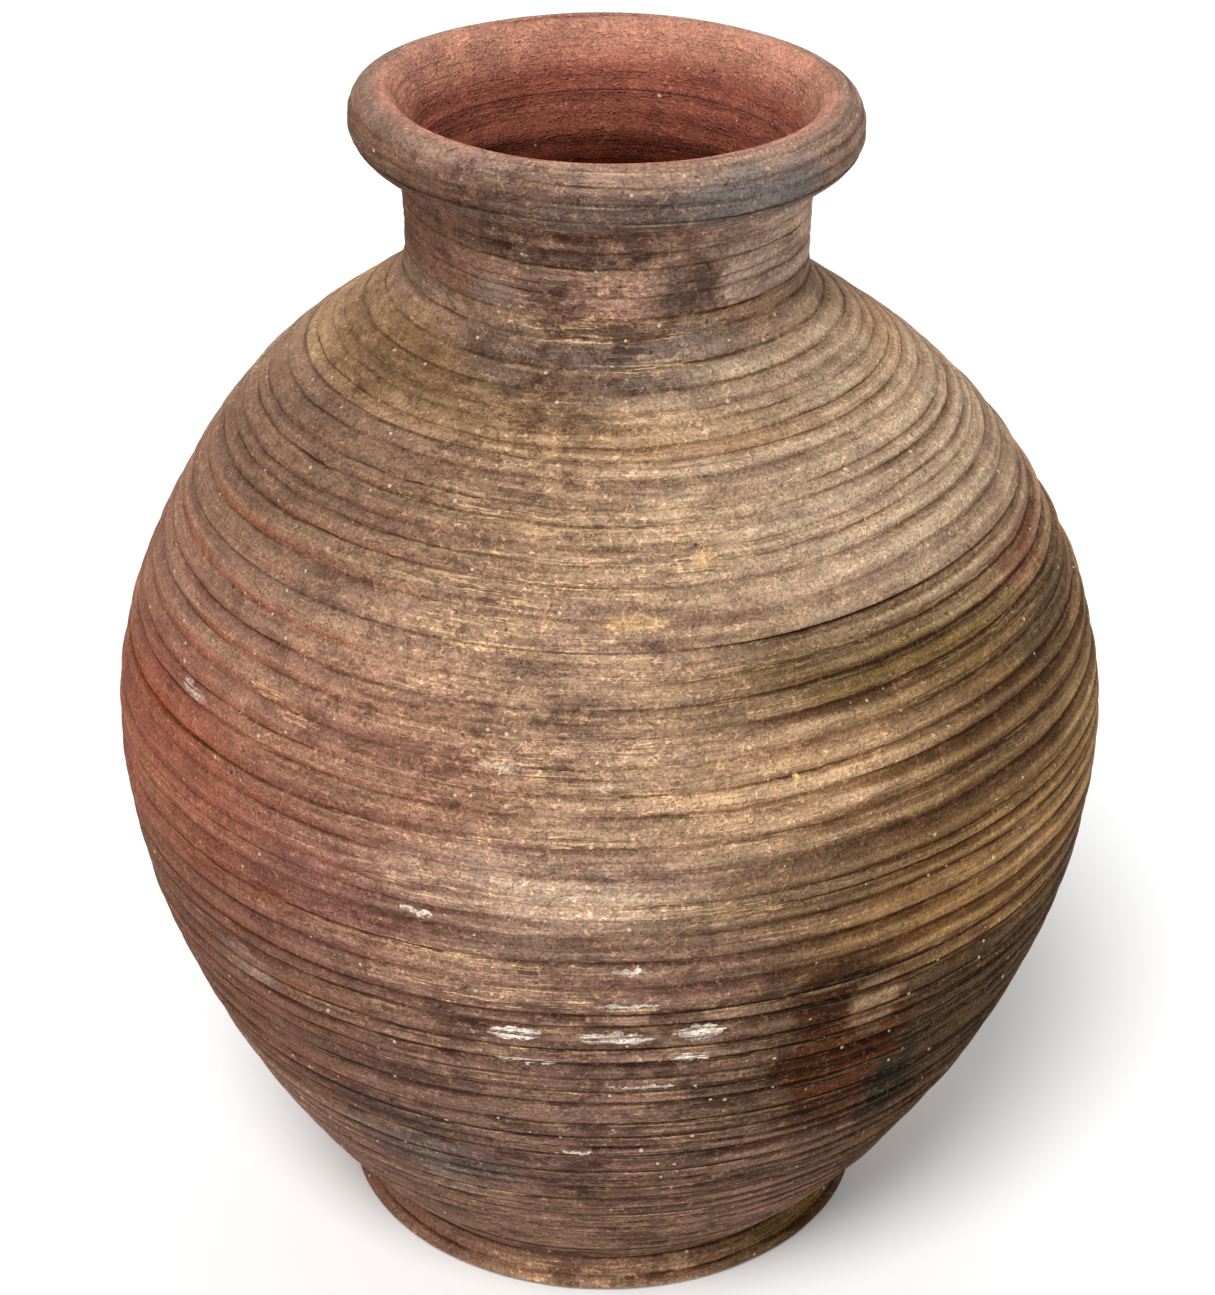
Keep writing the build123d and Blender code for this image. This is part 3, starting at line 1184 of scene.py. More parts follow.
class Edge(Enum):
    """How ragged the edge of a patch is: how fine its waves are, and how far they move it along each axis."""

    BROAD = (16.0, (0.12, 0.12, 0.045))
    SMALL = (60.0, (0.055, 0.055, 0.03))
    FLAKE = (150.0, (0.022, 0.022, 0.011))

    def ragged(self, bench: Bench, place: Socket) -> Socket:
        """Makes coordinates that give patches this edge.

        Args:
            bench: The material that is being wired.
            place: Object coordinates.

        Returns:
            The moved coordinates.
        """
        scale, reach = self.value
        wave = bench.noise(place, scale, 4.0, 0.62).outputs[1]
        level = bench.node("ShaderNodeVectorMath", operation="SUBTRACT")
        bench.feed(level.inputs[0], wave)
        bench.feed(level.inputs[1], (0.5, 0.5, 0.5))
        moved = bench.node("ShaderNodeVectorMath", operation="MULTIPLY_ADD")
        bench.feed(moved.inputs[0], level.outputs[0])
        bench.feed(moved.inputs[1], reach)
        bench.feed(moved.inputs[2], place)
        return moved.outputs[0]


@dataclass
class Wires:
    """What the steps of a clay material share: its node tree, coordinates, textures and effects."""

    bench: Bench
    place: Socket
    kept: dict[str, Socket]
    streaks: Sockets
    straw: Sockets
    ragged: dict[Edge, Socket]
    effects: dict[str, bpy.types.NodeTree]
    skin: OuterSkin


@dataclass(frozen=True)
class Patch:
    """A patch of colour: mostly weathering, on the wall also a painted sheen highlight and some painted shade
    low down: where it lies, how far it reaches and the colours it gives clay and crests.
    """

    angle: float
    height: float
    half_width: float
    half_height: float
    colour: Colour
    crest: Colour | None = None
    strength: float = 0.9
    softness: float = 0.5
    streaky: float = 0.4
    depth: float = 150 * MM

    flake_extent = 20 * MM
    small_extent = 45 * MM

    @property
    def edge(self) -> Edge:
        """How ragged the patch's edge is."""
        extent = min(self.half_width, 3 * self.half_height)
        if extent < self.flake_extent:
            return Edge.FLAKE
        return Edge.SMALL if extent < self.small_extent else Edge.BROAD

    def mask(self, wires: Wires, streak: Socket) -> Socket:
        """Places the patch on the jar's skin.

        Args:
            wires: What the material's steps share.
            streak: Streaks that break the patch.

        Returns:
            How much of the patch shows.
        """
        turn = math.radians(self.angle)
        out = wires.skin.radius(self.height)
        node = wires.bench.use(
            wires.effects["patch"],
            Vector=wires.ragged[self.edge],
            Centre=(out * math.sin(turn), -out * math.cos(turn), self.height),
            Turn=(0.0, 0.0, turn),
            Reach=(self.half_width, self.depth, self.half_height),
            Softness=self.softness,
            Streak=streak,
            Streaky=self.streaky,
            Strength=self.strength,
        )
        return node.outputs[0]


@dataclass(frozen=True)
class ClayFinish:
    """A matt unglazed clay with streaks, straw marks, grit and weathering, and with painted shade and painted
    highlights on its throwing rings and painted shade down inside the jar.
    """

    slot: str
    body: Colour
    crest: Colour
    patches: tuple[Patch, ...] = ()
    flakes: tuple[Patch, ...] = ()
    # cresting sets the pale streaks and the painted highlight on the ring crests; shading sets the painted
    # shade in the ring hollows
    cresting: float = 0.62
    shading: float = 0.95
    sooting: float = 0.6
    straw: float = 0.95
    blotching: float = 0.8
    peppering: float = 0.7
    charring: tuple[float, float] = (420 * MM, 300 * MM)
    soot: Colour = clay(156, 142, 136)
    # hollow darkens the clay as painted shade in the hollows of the rings
    hollow: Colour = clay(164, 146, 132)
    # groove darkens the clay further as painted shadow in the ring grooves
    groove: Colour = clay(112, 94, 82)
    char: Colour = clay(168, 158, 160)
    # The colour that the inside pales to at the top of the mouth
    mouth_top_pale: Colour = clay(212, 149, 126)
    inside: Colour = clay(166, 97, 79)
    # deep is painted shade: the inside colour far down in the jar
    deep: Colour = clay(80, 27, 10)
    ochre: Colour = clay(246, 206, 154)
    rust: Colour = clay(166, 82, 50)
    grain: Colour = clay(236, 212, 176)
    pit: Colour = clay(52, 36, 30)
    # edge_light brightens the crest colour into a painted highlight along the rings' lower edges
    edge_light: Colour = (1.25, 1.2, 1.15, 1.0)
    straw_light: Colour = (2.1, 1.98, 1.85, 1.0)
    straw_shadow: Colour = (0.52, 0.46, 0.43, 1.0)

    # The mouth's colours: how far out they end, where they start, where painted shade darkens them downwards
    # and where they pale
    mouth_edge = (147 * MM, 133 * MM)
    mouth_foot = (736 * MM, 744 * MM)
    dark_below = (744 * MM, 690 * MM)
    pale_above = (750 * MM, 778 * MM)

    # Streaks by width: the values between which each comes in, and how much of it there is
    dark_streaks = (("Broad", 0.47, 0.6, 0.8), ("Fine", 0.51, 0.62, 0.8), ("Hair", 0.52, 0.63, 0.28))
    pale_streaks = (("Fine", 0.47, 0.36, 0.7), ("Hair", 0.46, 0.35, 0.3))

    bump_depth = 2.2 * MM
    vertex_values = "run crest shade groove ledge edge lip coarse spotted dashed inside"

    def material(self, effects: dict[str, bpy.types.NodeTree], skin: OuterSkin) -> bpy.types.Material:
        """Wires the finish.

        Args:
            effects: The shared effects by name.
            skin: The jar's outline, which the patches lie on.

        Returns:
            The material.
        """
        made = bpy.data.materials.new(self.slot)
        made.use_nodes = True
        made.node_tree.nodes.clear()
        wires = self._wires(Bench(made.node_tree), effects, skin)
        body, crest = self._weathered(wires)
        colour = self._ringed(wires, body, crest)
        for flake in self.flakes:
            colour = wires.bench.mix(flake.mask(wires, wires.streaks["Hair"]), colour, flake.colour)
        colour = self._marked(wires, colour)
        self._shaded(wires, colour)
        return made

    def _wires(self, bench: Bench, effects: dict[str, bpy.types.NodeTree], skin: OuterSkin) -> Wires:
        """Adds the coordinates, values and textures that the steps share.

        Args:
            bench: The material that is being wired.
            effects: The shared effects by name.
            skin: The jar's outline.

        Returns:
            What the steps share.
        """
        place = bench.node("ShaderNodeTexCoord").outputs["Object"]
        kept = {}
        for name in self.vertex_values.split():
            kept[name] = bench.node("ShaderNodeAttribute", attribute_name=name).outputs["Fac"]
        streaks = bench.use(effects["streaks"], Vector=place, Run=kept["run"]).outputs
        straw = bench.use(effects["straw"], Vector=place).outputs
        ragged = {edge: edge.ragged(bench, place) for edge in Edge}
        return Wires(bench, place, kept, streaks, straw, ragged, effects, skin)

    def _weathered(self, wires: Wires) -> tuple[Socket, Socket]:
        """Lays the patches over the clay (weathering, with a painted sheen highlight and some painted shade
        on the wall), and the mouth's colours into it, darkening downwards inside the jar as painted shade.

        Args:
            wires: What the material's steps share.

        Returns:
            Colour of the clay and colour of its crests.
        """
        bench = wires.bench
        body = bench.mix(0.0, self.body, self.body)
        crest = bench.mix(1.0, self.crest, self.crest)
        for patch in self.patches:
            mask = patch.mask(wires, wires.streaks["Fine"])
            body = bench.mix(mask, body, patch.colour)
            crest = bench.mix(mask, crest, patch.crest or patch.colour)
        x, y, z = bench.parts(wires.place)
        squares = bench.math("ADD", bench.product(x, x), bench.product(y, y))
        out = bench.math("SQRT", squares)
        in_mouth = bench.product(bench.remap(out, *self.mouth_edge), bench.remap(z, *self.mouth_foot))
        within = bench.math("MAXIMUM", bench.remap(wires.kept["inside"], 0.4, 0.6), in_mouth)
        # Inside the jar the clay darkens downwards as painted shade, and pales towards the top of the mouth
        hollow = bench.mix(bench.remap(z, *self.dark_below), self.inside, self.deep)
        hollow = bench.mix(bench.remap(z, *self.pale_above), hollow, self.mouth_top_pale)
        body = bench.mix(within, body, hollow)
        crest = bench.mix(within, crest, hollow)
        mottle = bench.remap(bench.noise(wires.place, 38.0, 5.0, 0.68).outputs[0], 0.34, 0.66, 0.8, 1.18)
        return bench.tinted(body, bench.vector(mottle, mottle, mottle)), crest

    def _ringed(self, wires: Wires, body: Socket, crest: Socket) -> Socket:
        """Darkens the streaks, paints shade into the hollows and grooves of the throwing rings, and lightens
        their crests and edges with painted highlight and their ledges with ochre dust and painted highlight.

        Args:
            wires: What the material's steps share.
            body: Colour of the clay.
            crest: Colour of its crests.

        Returns:
            The colour.
        """
        bench, streaks, kept = wires.bench, wires.streaks, wires.kept
        sooty = bench.tinted(body, self.soot)
        # Painted shade for the hollows of the rings
        hollow = bench.tinted(body, self.hollow)
        # A deeper painted shadow for the grooves of the rings
        groove = bench.tinted(body, self.groove)
        colour = body
        for paint, amount, widths in (
            (sooty, self.sooting, self.dark_streaks),
            (crest, self.cresting, self.pale_streaks),
        ):
            coarse = bench.product(kept["coarse"], amount)
            for name, low, high, share in widths:
                colour = bench.lay(colour, paint, bench.remap(streaks[name], low, high, 0.0, share), coarse)
        # Painted highlight on the crests of the rings, broken up by fine streaks
        crest_breaks = bench.remap(streaks["Fine"], 0.42, 0.58, 1.0, 0.3)
        colour = bench.lay(colour, crest, kept["crest"], crest_breaks, self.cresting)
        # Lay the painted shade into the ring hollows
        colour = bench.lay(colour, hollow, kept["shade"], self.shading)
        # A pale line on each ledge: partly ochre dust, partly painted highlight where its top catches the
        # light
        gaps = bench.remap(streaks["Broad"], 0.6, 0.46)
        broken = bench.product(bench.remap(streaks["Hair"], 0.44, 0.54), gaps)
        colour = bench.lay(colour, bench.mix(0.35, self.ochre, crest), kept["ledge"], broken)
        # A painted highlight along the lower edge of each ring
        bright = bench.tinted(crest, self.edge_light)
        colour = bench.lay(colour, bright, kept["edge"], broken)
        patchy = bench.remap(streaks["Broad"], 0.66, 0.42, 0.1, 0.85)
        colour = bench.lay(colour, self.rust, kept["lip"], patchy)
        # Painted shadow in the grooves, broken by fine streaks
        deepest = bench.remap(streaks["Fine"], 0.36, 0.56, 0.25, 0.9)
        colour = bench.lay(colour, groove, kept["groove"], deepest)
        dashes = bench.remap(streaks["Hair"], 0.45, 0.39)
        clusters = bench.remap(streaks["Broad"], 0.53, 0.41)
        return bench.lay(colour, bench.mix(0.25, self.ochre, crest), dashes, kept["dashed"], clusters, 0.9)

    def _marked(self, wires: Wires, colour: Socket) -> Socket:
        """Adds blotches, straw marks, an uneven grain, grit and pits.

        Args:
            wires: What the material's steps share.
            colour: The colour so far.

        Returns:
            The colour.
        """
        bench, place, kept, straw = wires.bench, wires.place, wires.kept, wires.straw
        charred = bench.tinted(colour, self.char)
        x, y, z = bench.parts(place)
        flat = bench.vector(x, y, bench.product(z, 2.2))
        blotch = bench.remap(bench.noise(flat, 24.0, 6.0, 0.7).outputs[0], 0.5, 0.57, 0.0, self.blotching)
        low_down = bench.remap(z, *self.charring, 0.35, 1.0)
        colour = bench.lay(colour, charred, blotch, kept["coarse"], low_down)
        peppered = bench.remap(bench.noise(flat, 90.0, 4.0, 0.65).outputs[0], 0.53, 0.6, 0.0, self.peppering)
        spread = bench.remap(bench.noise(place, 9.0, 2.0).outputs[0], 0.4, 0.58, 0.3, 1.0)
        colour = bench.lay(colour, charred, peppered, spread, kept["spotted"])
        coarse_straw = bench.product(kept["coarse"], 0.5 * self.straw)
        amount = bench.math("ADD", coarse_straw, 0.4 * self.straw)
        shadow = bench.tinted(colour, self.straw_shadow)
        colour = bench.lay(colour, shadow, straw["Dark"], amount, 0.5)
        lit = bench.mix(0.1, bench.tinted(colour, self.straw_light), self.ochre)
        colour = bench.lay(colour, lit, straw["Pale"], amount)
        grain = bench.remap(bench.noise(place, 520.0, 3.0, 0.7).outputs[0], 0.25, 0.75, 0.66, 1.34)
        colour = bench.tinted(colour, bench.vector(grain, grain, grain))
        pale = bench.use(wires.effects["grit"], Vector=place, Scale=100.0, Share=0.38, Size=0.15).outputs[0]
        colour = bench.lay(colour, self.grain, pale, 0.85)
        pits = bench.use(wires.effects["grit"], Vector=place, Scale=120.0, Share=0.12, Size=0.2).outputs[0]
        return bench.lay(colour, self.pit, pits, 0.65)

    def _shaded(self, wires: Wires, colour: Socket) -> None:
        """Feeds the shader with the colour, a dry roughness and a fine relief.

        Args:
            wires: What the material's steps share.
            colour: The finished colour.
        """
        bench, streaks = wires.bench, wires.streaks
        shader = bench.node("ShaderNodeBsdfPrincipled")
        bench.feed(shader.inputs["Base Color"], colour)
        bench.feed(shader.inputs["Roughness"], bench.remap(streaks["Fine"], 0.3, 0.7, 0.78, 0.95))
        shader.inputs["Specular IOR Level"].default_value = 0.08
        height = bench.product(bench.noise(wires.place, 260.0, 4.0, 0.7).outputs[0], 0.7)
        for values, share in ((streaks["Fine"], 0.9), (streaks["Hair"], 0.45), (wires.straw["Height"], 0.35)):
            height = bench.math("ADD", height, bench.product(values, share))
        relief = bench.node("ShaderNodeBump")
        relief.inputs["Strength"].default_value = 0.8
        relief.inputs["Distance"].default_value = self.bump_depth
        bench.feed(relief.inputs["Height"], height)
        bench.feed(shader.inputs["Normal"], relief.outputs[0])
        output = bench.node("ShaderNodeOutputMaterial")
        bench.feed(output.inputs["Surface"], shader.outputs[0])


TAN = clay(216, 180, 138)
CHALK = clay(255, 244, 226)

# A patch gives its angle, height, half width, half height, clay colour, crest colour, strength, softness
# and streakiness. Later patches lie over earlier ones.
WALL_WEATHER_SHEEN_AND_SHADE = (
    Patch(-76, 490 * MM, 0.2, 0.08, clay(154, 109, 90), clay(196, 148, 124), 0.9, 0.5, 0.2),
    Patch(-62, 395 * MM, 0.2, 0.075, clay(160, 90, 70), clay(186, 117, 93), 0.95, 0.45, 0.1),
    Patch(-28, 440 * MM, 0.1, 0.08, clay(160, 109, 90), clay(192, 140, 114), 0.75, 0.7, 0.2),
    Patch(-26, 394 * MM, 0.08, 0.03, clay(138, 92, 82), clay(168, 121, 107), 0.85, 0.6, 0.2),
    Patch(-45, 361 * MM, 0.06, 0.008, clay(132, 58, 38), clay(132, 58, 38), 0.95, 0.5, 0.1),
    Patch(58, 430 * MM, 0.23, 0.12, clay(112, 79, 41), clay(158, 124, 75), 0.92, 0.5, 0.2),
    Patch(38, 518 * MM, 0.12, 0.024, clay(100, 76, 36), clay(142, 112, 58), 0.9, 0.6, 0.3),
    Patch(22, 458 * MM, 0.08, 0.034, clay(218, 177, 137), clay(242, 205, 163), 0.92, 0.7, 0.2),
    Patch(76, 396 * MM, 0.1, 0.05, clay(168, 132, 87), clay(206, 170, 116), 0.85, 0.6, 0.2),
    Patch(68, 484 * MM, 0.07, 0.02, clay(72, 58, 36), clay(106, 86, 54), 0.9, 0.4, 0.5),
    Patch(70, 522 * MM, 0.05, 0.014, clay(136, 66, 44), clay(150, 82, 56), 0.9, 0.4, 0.4),
    Patch(-6, 612 * MM, 0.1, 0.028, clay(214, 177, 140), clay(240, 202, 158), 0.5, 0.7, 0.2),
    Patch(55, 590 * MM, 0.17, 0.06, clay(212, 184, 154), clay(230, 202, 168), 0.9, 0.6, 0.2),
    Patch(-55, 590 * MM, 0.17, 0.06, clay(126, 94, 76), clay(160, 124, 95), 0.88, 0.6, 0.3),
    # A painted sheen highlight on the front of the belly
    Patch(-2, 404 * MM, 0.1, 0.026, clay(222, 188, 164), clay(244, 214, 186), 0.72, 0.8, 0.3),
    Patch(22, 391 * MM, 0.08, 0.03, clay(124, 93, 66), clay(162, 128, 94), 0.85, 0.5, 0.3),
    Patch(-8, 340 * MM, 0.2, 0.032, clay(148, 107, 95), clay(196, 156, 134), 0.8, 0.6, 0.3),
    Patch(-55, 260 * MM, 0.22, 0.09, clay(112, 65, 51), clay(148, 100, 82), 0.92, 0.5, 0.2),
    Patch(-5, 225 * MM, 0.16, 0.09, clay(116, 83, 76), clay(170, 134, 118), 0.9, 0.5, 0.2),
    Patch(48, 270 * MM, 0.19, 0.11, clay(60, 39, 14), clay(92, 65, 30), 0.95, 0.45, 0.15),
    Patch(51, 356 * MM, 0.13, 0.04, clay(184, 140, 90), clay(214, 172, 116), 0.9, 0.6, 0.2),
    # The bottom of the wall at the front darkens: partly darker clay, partly painted shade under the belly
    Patch(0, 110 * MM, 0.4, 0.08, clay(122, 86, 76), clay(168, 130, 112), 0.85, 0.5, 0.25, 0.5),
    Patch(60, 150 * MM, 0.12, 0.09, clay(72, 51, 24), clay(104, 76, 40), 0.9, 0.5, 0.2),
    Patch(-28, 206 * MM, 0.06, 0.012, clay(74, 58, 56), clay(108, 88, 82), 0.8, 0.5, 0.4),
    Patch(-24, 168 * MM, 0.05, 0.026, clay(96, 87, 86), clay(128, 116, 110), 0.75, 0.5, 0.4),
    Patch(10, 186 * MM, 0.03, 0.01, clay(84, 66, 60), clay(116, 94, 84), 0.75, 0.5, 0.4),
    Patch(22, 150 * MM, 0.06, 0.012, clay(72, 52, 40), clay(106, 82, 64), 0.75, 0.5, 0.5),
    Patch(-8, 372 * MM, 0.05, 0.008, clay(104, 82, 74), clay(140, 114, 98), 0.65, 0.5, 0.5),
    Patch(28, 262 * MM, 0.042, 0.07, clay(82, 40, 10), clay(108, 58, 20), 0.97, 0.3, 0.15),
    Patch(26, 320 * MM, 0.034, 0.022, clay(58, 31, 13), clay(84, 48, 26), 0.95, 0.3, 0.15),
    Patch(31, 300 * MM, 0.018, 0.024, clay(164, 132, 100), clay(178, 146, 112), 0.95, 0.3, 0.1),
    Patch(38, 215 * MM, 0.02, 0.04, clay(40, 34, 24), clay(54, 44, 30), 0.95, 0.35, 0.2),
    Patch(-24, 150 * MM, 0.018, 0.03, clay(138, 128, 112), clay(150, 138, 122), 0.55, 0.35, 0.3),
    Patch(-46, 294 * MM, 0.03, 0.012, clay(176, 148, 132), clay(190, 166, 150), 0.6, 0.4, 0.6),
    Patch(-70, 434 * MM, 0.11, 0.0017, clay(150, 76, 42), None, 0.9, 0.5, 0.3),
    Patch(-128, 430 * MM, 0.2, 0.1, clay(164, 108, 86), clay(192, 138, 112), 0.8, 0.6, 0.2),
    Patch(-160, 590 * MM, 0.16, 0.05, clay(206, 170, 138), clay(226, 194, 156), 0.8, 0.6, 0.2),
    Patch(150, 520 * MM, 0.16, 0.05, clay(150, 116, 76), clay(182, 146, 98), 0.8, 0.6, 0.3),
    Patch(176, 300 * MM, 0.2, 0.08, clay(134, 92, 76), clay(170, 126, 104), 0.85, 0.5, 0.2),
    Patch(122, 300 * MM, 0.12, 0.1, clay(92, 66, 40), clay(128, 98, 64), 0.85, 0.5, 0.2),
)

WALL_FLAKES = (
    Patch(-10, 308 * MM, 0.015, 0.0046, CHALK, None, 1.6, 0.15, 1.15),
    Patch(1, 307 * MM, 0.02, 0.0046, CHALK, None, 1.6, 0.15, 1.15),
    Patch(10, 308 * MM, 0.014, 0.0054, CHALK, None, 1.7, 0.15, 1.1),
    Patch(-9, 286 * MM, 0.02, 0.0028, CHALK, None, 1.5, 0.15, 1.15),
    Patch(9, 287 * MM, 0.014, 0.0032, CHALK, None, 1.5, 0.15, 1.15),
    Patch(4, 264 * MM, 0.018, 0.0015, CHALK, None, 0.9, 0.15, 0.4),
    Patch(-4, 195 * MM, 0.01, 0.003, CHALK, None, 1.0, 0.1, 0.2),
    Patch(2, 332 * MM, 0.018, 0.0018, CHALK, None, 0.85, 0.15, 0.4),
    Patch(2, 358 * MM, 0.01, 0.0018, CHALK, None, 0.8, 0.15, 0.4),
    Patch(-20, 387 * MM, 0.009, 0.0015, CHALK, None, 0.8, 0.15, 0.3),
    Patch(-43, 484 * MM, 0.015, 0.003, clay(216, 170, 126), None, 1.2, 0.2, 1.0),
    Patch(-38, 476 * MM, 0.018, 0.0024, clay(218, 166, 130), None, 1.2, 0.2, 1.0),
    Patch(-56, 459 * MM, 0.013, 0.004, clay(206, 190, 178), None, 1.1, 0.2, 1.1),
    Patch(-12, 478 * MM, 0.012, 0.002, clay(230, 206, 178), None, 0.8, 0.2, 0.4),
    Patch(0, 470 * MM, 0.012, 0.0016, clay(230, 206, 178), None, 0.8, 0.2, 0.4),
    Patch(14, 578 * MM, 0.007, 0.004, clay(240, 196, 148), None, 0.95, 0.2, 0.0),
    Patch(4, 551 * MM, 0.016, 0.004, clay(228, 186, 134), None, 0.85, 0.2, 0.5),
    Patch(-14, 537 * MM, 0.03, 0.0022, clay(236, 194, 148), None, 0.85, 0.3, 0.5),
    Patch(21, 464 * MM, 0.0025, 0.0025, clay(248, 214, 148), None, 1.0, 0.2, 0.0),
)

FOOT_WEATHER = (
    Patch(55, 22 * MM, 0.07, 0.04, clay(100, 75, 30), clay(136, 106, 48), 0.92, 0.5, 0.2),
    Patch(-60, 22 * MM, 0.09, 0.04, clay(152, 108, 88), clay(190, 150, 122), 0.7, 0.5, 0.2),
)

NECK_WEATHER = (
    Patch(-65, 700 * MM, 0.07, 0.05, clay(126, 82, 60), None, 0.85, 0.5, 0.3),
    Patch(-4, 690 * MM, 0.032, 0.016, clay(202, 160, 138), None, 0.9, 0.2, 0.3),
    Patch(-33, 690 * MM, 0.014, 0.014, clay(160, 146, 134), None, 0.55, 0.4, 0.3),
    Patch(62, 700 * MM, 0.08, 0.05, clay(208, 180, 160), None, 0.9, 0.5, 0.3),
    Patch(12, 724 * MM, 0.024, 0.012, clay(210, 170, 144), None, 0.9, 0.2, 0.2),
    Patch(-12, 718 * MM, 0.05, 0.007, clay(98, 77, 69), None, 0.65, 0.3, 0.4),
    Patch(-18, 702 * MM, 0.02, 0.008, clay(104, 83, 74), None, 0.6, 0.3, 0.4),
    Patch(24, 700 * MM, 0.02, 0.02, clay(100, 78, 70), None, 0.85, 0.3, 0.3),
)

CROWN_WEATHER = (
    Patch(-8, 632 * MM, 0.09, 0.01, clay(230, 192, 150), clay(248, 212, 168), 0.85, 0.6, 0.2),
    Patch(0, 674 * MM, 0.6, 0.016, clay(142, 112, 94), clay(176, 142, 118), 0.9, 0.5, 0.4, 0.6),
    Patch(0, 656 * MM, 0.1, 0.016, clay(102, 86, 83), clay(136, 115, 106), 0.95, 0.5, 0.4),
    Patch(-55, 640 * MM, 0.1, 0.02, clay(117, 86, 57), clay(145, 110, 75), 0.9, 0.6, 0.3),
    Patch(55, 640 * MM, 0.1, 0.024, clay(192, 169, 144), clay(214, 190, 158), 0.85, 0.6, 0.3),
)

RIM_WEATHER = (
    Patch(-8, 755 * MM, 0.13, 0.013, clay(84, 73, 70), clay(112, 97, 91), 0.88, 0.5, 0.45),
    Patch(2, 765 * MM, 0.1, 0.005, clay(104, 88, 82), clay(126, 108, 100), 0.8, 0.5, 0.5),
    Patch(38, 758 * MM, 0.06, 0.018, clay(120, 114, 113), clay(156, 147, 140), 0.88, 0.4, 0.4),
    Patch(-66, 760 * MM, 0.12, 0.02, clay(116, 81, 63), clay(149, 106, 83), 0.94, 0.5, 0.3),
    Patch(85, 760 * MM, 0.07, 0.018, clay(150, 122, 104), clay(184, 150, 124), 0.85, 0.5, 0.4),
)

FINISHES = (
    ClayFinish("foot_clay", clay(160, 120, 98), clay(196, 158, 124), FOOT_WEATHER, shading=0.4),
    ClayFinish("base_clay", clay(144, 106, 88), clay(176, 140, 112), FOOT_WEATHER, shading=0.4),
    ClayFinish("wall_clay", clay(188, 152, 128), TAN, WALL_WEATHER_SHEEN_AND_SHADE, WALL_FLAKES),
    ClayFinish(
        "crown_clay",
        clay(204, 164, 128),
        TAN,
        CROWN_WEATHER,
        shading=0.7,
        charring=(630 * MM, 665 * MM),
    ),
    ClayFinish(
        "neck_clay",
        clay(186, 146, 125),
        clay(210, 171, 147),
        NECK_WEATHER,
        shading=0.35,
        charring=(760 * MM, 745 * MM),
    ),
    ClayFinish(
        "rim_clay",
        clay(170, 138, 120),
        clay(194, 162, 142),
        RIM_WEATHER,
        shading=0.2,
        charring=(778 * MM, 758 * MM),
    ),
    ClayFinish("slip", clay(128, 66, 38), clay(150, 84, 50)),
)


@dataclass
class Jar:
    """The whole jar: foot, wall, neck and rim, with the lutes between them."""

    hand: PotterHand

    crack = (-84.0, -48.0)
    upper_rings = ("lower_wall", "flank", "lower_belly", "belly", "upper_belly", "shoulder", "crown", "neck")
    outer_nodes = ("foot_ring", "base_disc", *upper_rings, "rim")
    luted_rings = ("foot", "base", *upper_rings)

    def pieces(self) -> list[TurnedPiece]:
        """Lists the pieces from the foot to the rim, then the lutes."""
        foot = TurnedPiece("foot_ring", "foot_clay", 2, ring_depth=0.8 * MM)
        base = TurnedPiece(
            "base_disc", "base_clay", 3, ring_depth=1.0 * MM, joint_spacing=9 * MM, inner_spacing=6 * MM
        )
        own_ways = {
            "lower_wall": {"worn_front": 0.0},
            "flank": {"worn_front": 0.0},
            "lower_belly": {"worn_front": 0.06},
            "belly": {"open_above": self.crack},
            "upper_belly": {"open_below": self.crack, "upper_swell": 2.2 * MM, "healed_above": 0.95},
            "shoulder": {"healed_below": 0.95, "right_boldness": 0.15},
        }
        wall = []
        for index, (node, ways) in enumerate(own_ways.items()):
            wall.append(TurnedPiece(node, "wall_clay", 10 + index, ring_depth=2.3 * MM, **ways))
        crown = TurnedPiece(
            "crown", "crown_clay", 30, ring_pitch=13 * MM, ring_depth=1.2 * MM, right_boldness=0.3
        )
        neck = TurnedPiece(
            "neck",
            "neck_clay",
            31,
            ring_pitch=10 * MM,
            ring_depth=0.5 * MM,
            inner_spacing=1.8 * MM,
            worn_front=0.1,
            right_boldness=0.15,
        )
        rim = RolledRim(
            "rim",
            "rim_clay",
            32,
            ring_pitch=9 * MM,
            worn_front=0.0,
            coarseness=0.6,
            ringless_within=132 * MM,
            right_boldness=0.15,
        )
        lutes = [Lute(f"{ring}_lute", "slip", 60 + index) for index, ring in enumerate(self.luted_rings)]
        return [foot, base, *wall, crown, neck, rim, *lutes]

    def build(self, finishes: dict[str, bpy.types.Material]) -> None:
        """Makes every piece and dresses it.

        Args:
            finishes: The materials by slot.
        """
        for piece in self.pieces():
            piece.dress(piece.build(self.hand), finishes)


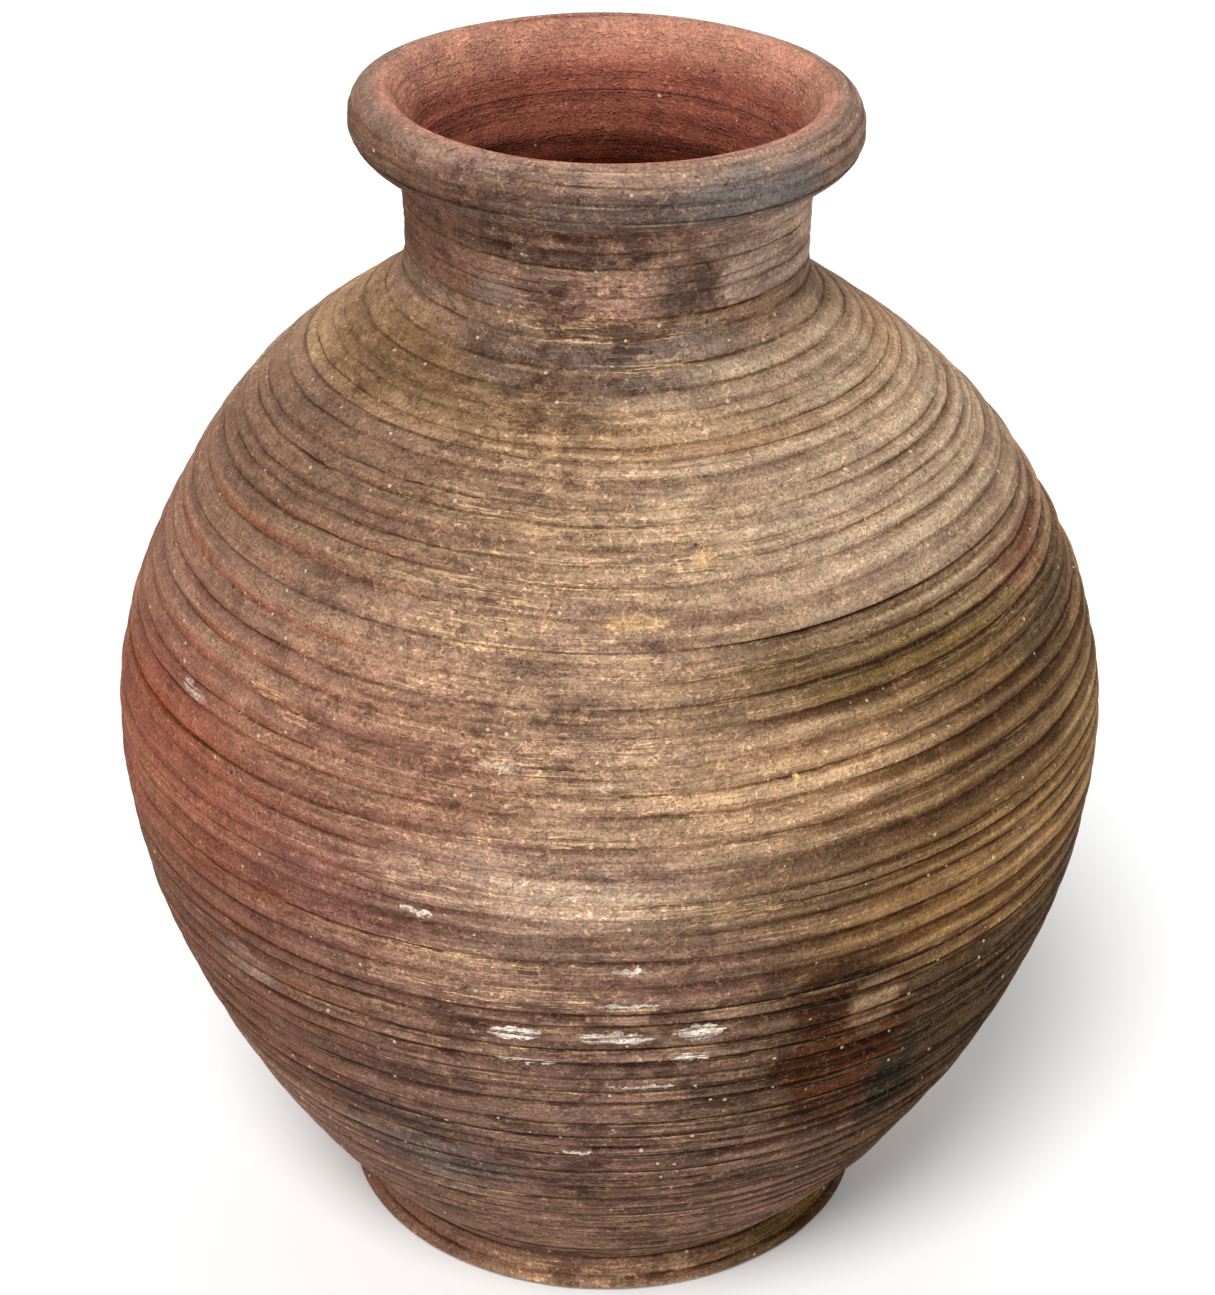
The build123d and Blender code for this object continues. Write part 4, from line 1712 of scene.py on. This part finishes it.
@dataclass
class Studio:
    """A plain white floor, soft light and the camera that took the photograph."""

    camera_place: tuple[float, float, float] = (0.0, -1.8566, 1.4131)
    camera_pitch: float = 28.7
    lens: float = 88.957
    sensor: float = 36.0
    lamp_height: float = 3.0
    floor_half: float = 12.0
    key_strength: float = 2.6
    key_width: float = 22.0
    key_height: float = 55.0
    key_turn: float = -14.0
    fill_strength: float = 0.6
    fill_width: float = 70.0
    fill_height: float = 30.0
    fill_turn: float = 166.0
    sky_strength: float = 0.29
    floor_lift: float = 0.13
    floor_colour: Colour = (0.93, 0.93, 0.93, 1.0)
    white: Colour = (1.0, 1.0, 1.0, 1.0)

    def build(self) -> None:
        """Sets up floor, lamps, world and camera."""
        self._floor()
        self._sun("key", self.key_strength, self.key_width, self.key_height, self.key_turn)
        self._sun("fill", self.fill_strength, self.fill_width, self.fill_height, self.fill_turn)
        self._world()
        self._camera()
        bpy.context.scene.view_settings.view_transform = "Standard"

    @staticmethod
    def _seen(bench: Bench) -> Socket:
        """Tells what is seen, directly or in a reflection, from what only gives light.

        Args:
            bench: The material or world that is being wired.

        Returns:
            1 where it is seen, and 0 elsewhere.
        """
        path = bench.node("ShaderNodeLightPath").outputs
        seen = bench.math("MAXIMUM", path["Is Camera Ray"], path["Is Glossy Ray"])
        return bench.math("MAXIMUM", seen, path["Is Transmission Ray"])

    def _floor(self) -> None:
        """Lays the floor that the jar stands on."""
        bpy.ops.object.select_all(action="DESELECT")
        bpy.ops.mesh.primitive_plane_add(size=2 * self.floor_half)
        floor = bpy.context.object
        floor.name = "floor"
        paint = bpy.data.materials.new("floor_paint")
        paint.use_nodes = True
        paint.node_tree.nodes.clear()
        bench = Bench(paint.node_tree)
        shader = bench.node("ShaderNodeBsdfPrincipled")
        shader.inputs["Base Color"].default_value = self.floor_colour
        shader.inputs["Roughness"].default_value = 0.9
        shader.inputs["Specular IOR Level"].default_value = 0.0
        shader.inputs["Emission Color"].default_value = self.white
        bench.feed(shader.inputs["Emission Strength"], bench.product(self._seen(bench), self.floor_lift))
        output = bench.node("ShaderNodeOutputMaterial")
        bench.feed(output.inputs["Surface"], shader.outputs[0])
        floor.data.materials.append(paint)

    def _sun(self, name: str, strength: float, width: float, height: float, turn: float) -> None:
        """Hangs one soft lamp, far off.

        Args:
            name: Name of the lamp.
            strength: How strong it is.
            width: How broad it looks from the jar, in degrees.
            height: How high it stands, in degrees.
            turn: How far it stands round from the camera, in degrees.
        """
        data = bpy.data.lights.new(name, "SUN")
        data.energy = strength
        data.angle = math.radians(width)
        lamp = bpy.data.objects.new(name, data)
        bpy.context.scene.collection.objects.link(lamp)
        lamp.location = (0.0, 0.0, self.lamp_height)
        lamp.rotation_euler = (math.radians(90 - height), 0.0, math.radians(turn))

    def _world(self) -> None:
        """Surrounds the jar with an even soft light, white where the camera sees it."""
        world = bpy.data.worlds.new("studio")
        bpy.context.scene.world = world
        world.use_nodes = True
        tree = world.node_tree
        tree.nodes.clear()
        bench = Bench(tree)
        light = bench.node("ShaderNodeBackground")
        light.inputs["Color"].default_value = self.white
        bench.feed(light.inputs["Strength"], bench.remap(self._seen(bench), 0.0, 1.0, self.sky_strength, 1.0))
        output = bench.node("ShaderNodeOutputWorld")
        bench.feed(output.inputs["Surface"], light.outputs[0])

    def _camera(self) -> None:
        """Places the camera of the photograph."""
        data = bpy.data.cameras.new("camera")
        data.lens = self.lens
        data.sensor_width = self.sensor
        camera = bpy.data.objects.new("camera", data)
        bpy.context.scene.collection.objects.link(camera)
        camera.location = self.camera_place
        camera.rotation_euler = (math.radians(90 - self.camera_pitch), 0.0, 0.0)
        bpy.context.scene.camera = camera


def main() -> None:
    """Builds the finishes, the jar and the studio in that order."""
    logging.basicConfig(level=logging.INFO, format="%(name)s: %(message)s")
    effects = {"streaks": tool_streaks(), "straw": straw_marks(), "grit": grit(), "patch": weather_patch()}
    skin = OuterSkin(Jar.outer_nodes)
    finishes = {finish.slot: finish.material(effects, skin) for finish in FINISHES}
    Jar(PotterHand(skin)).build(finishes)
    Studio().build()


if __name__ == "__main__":
    main()
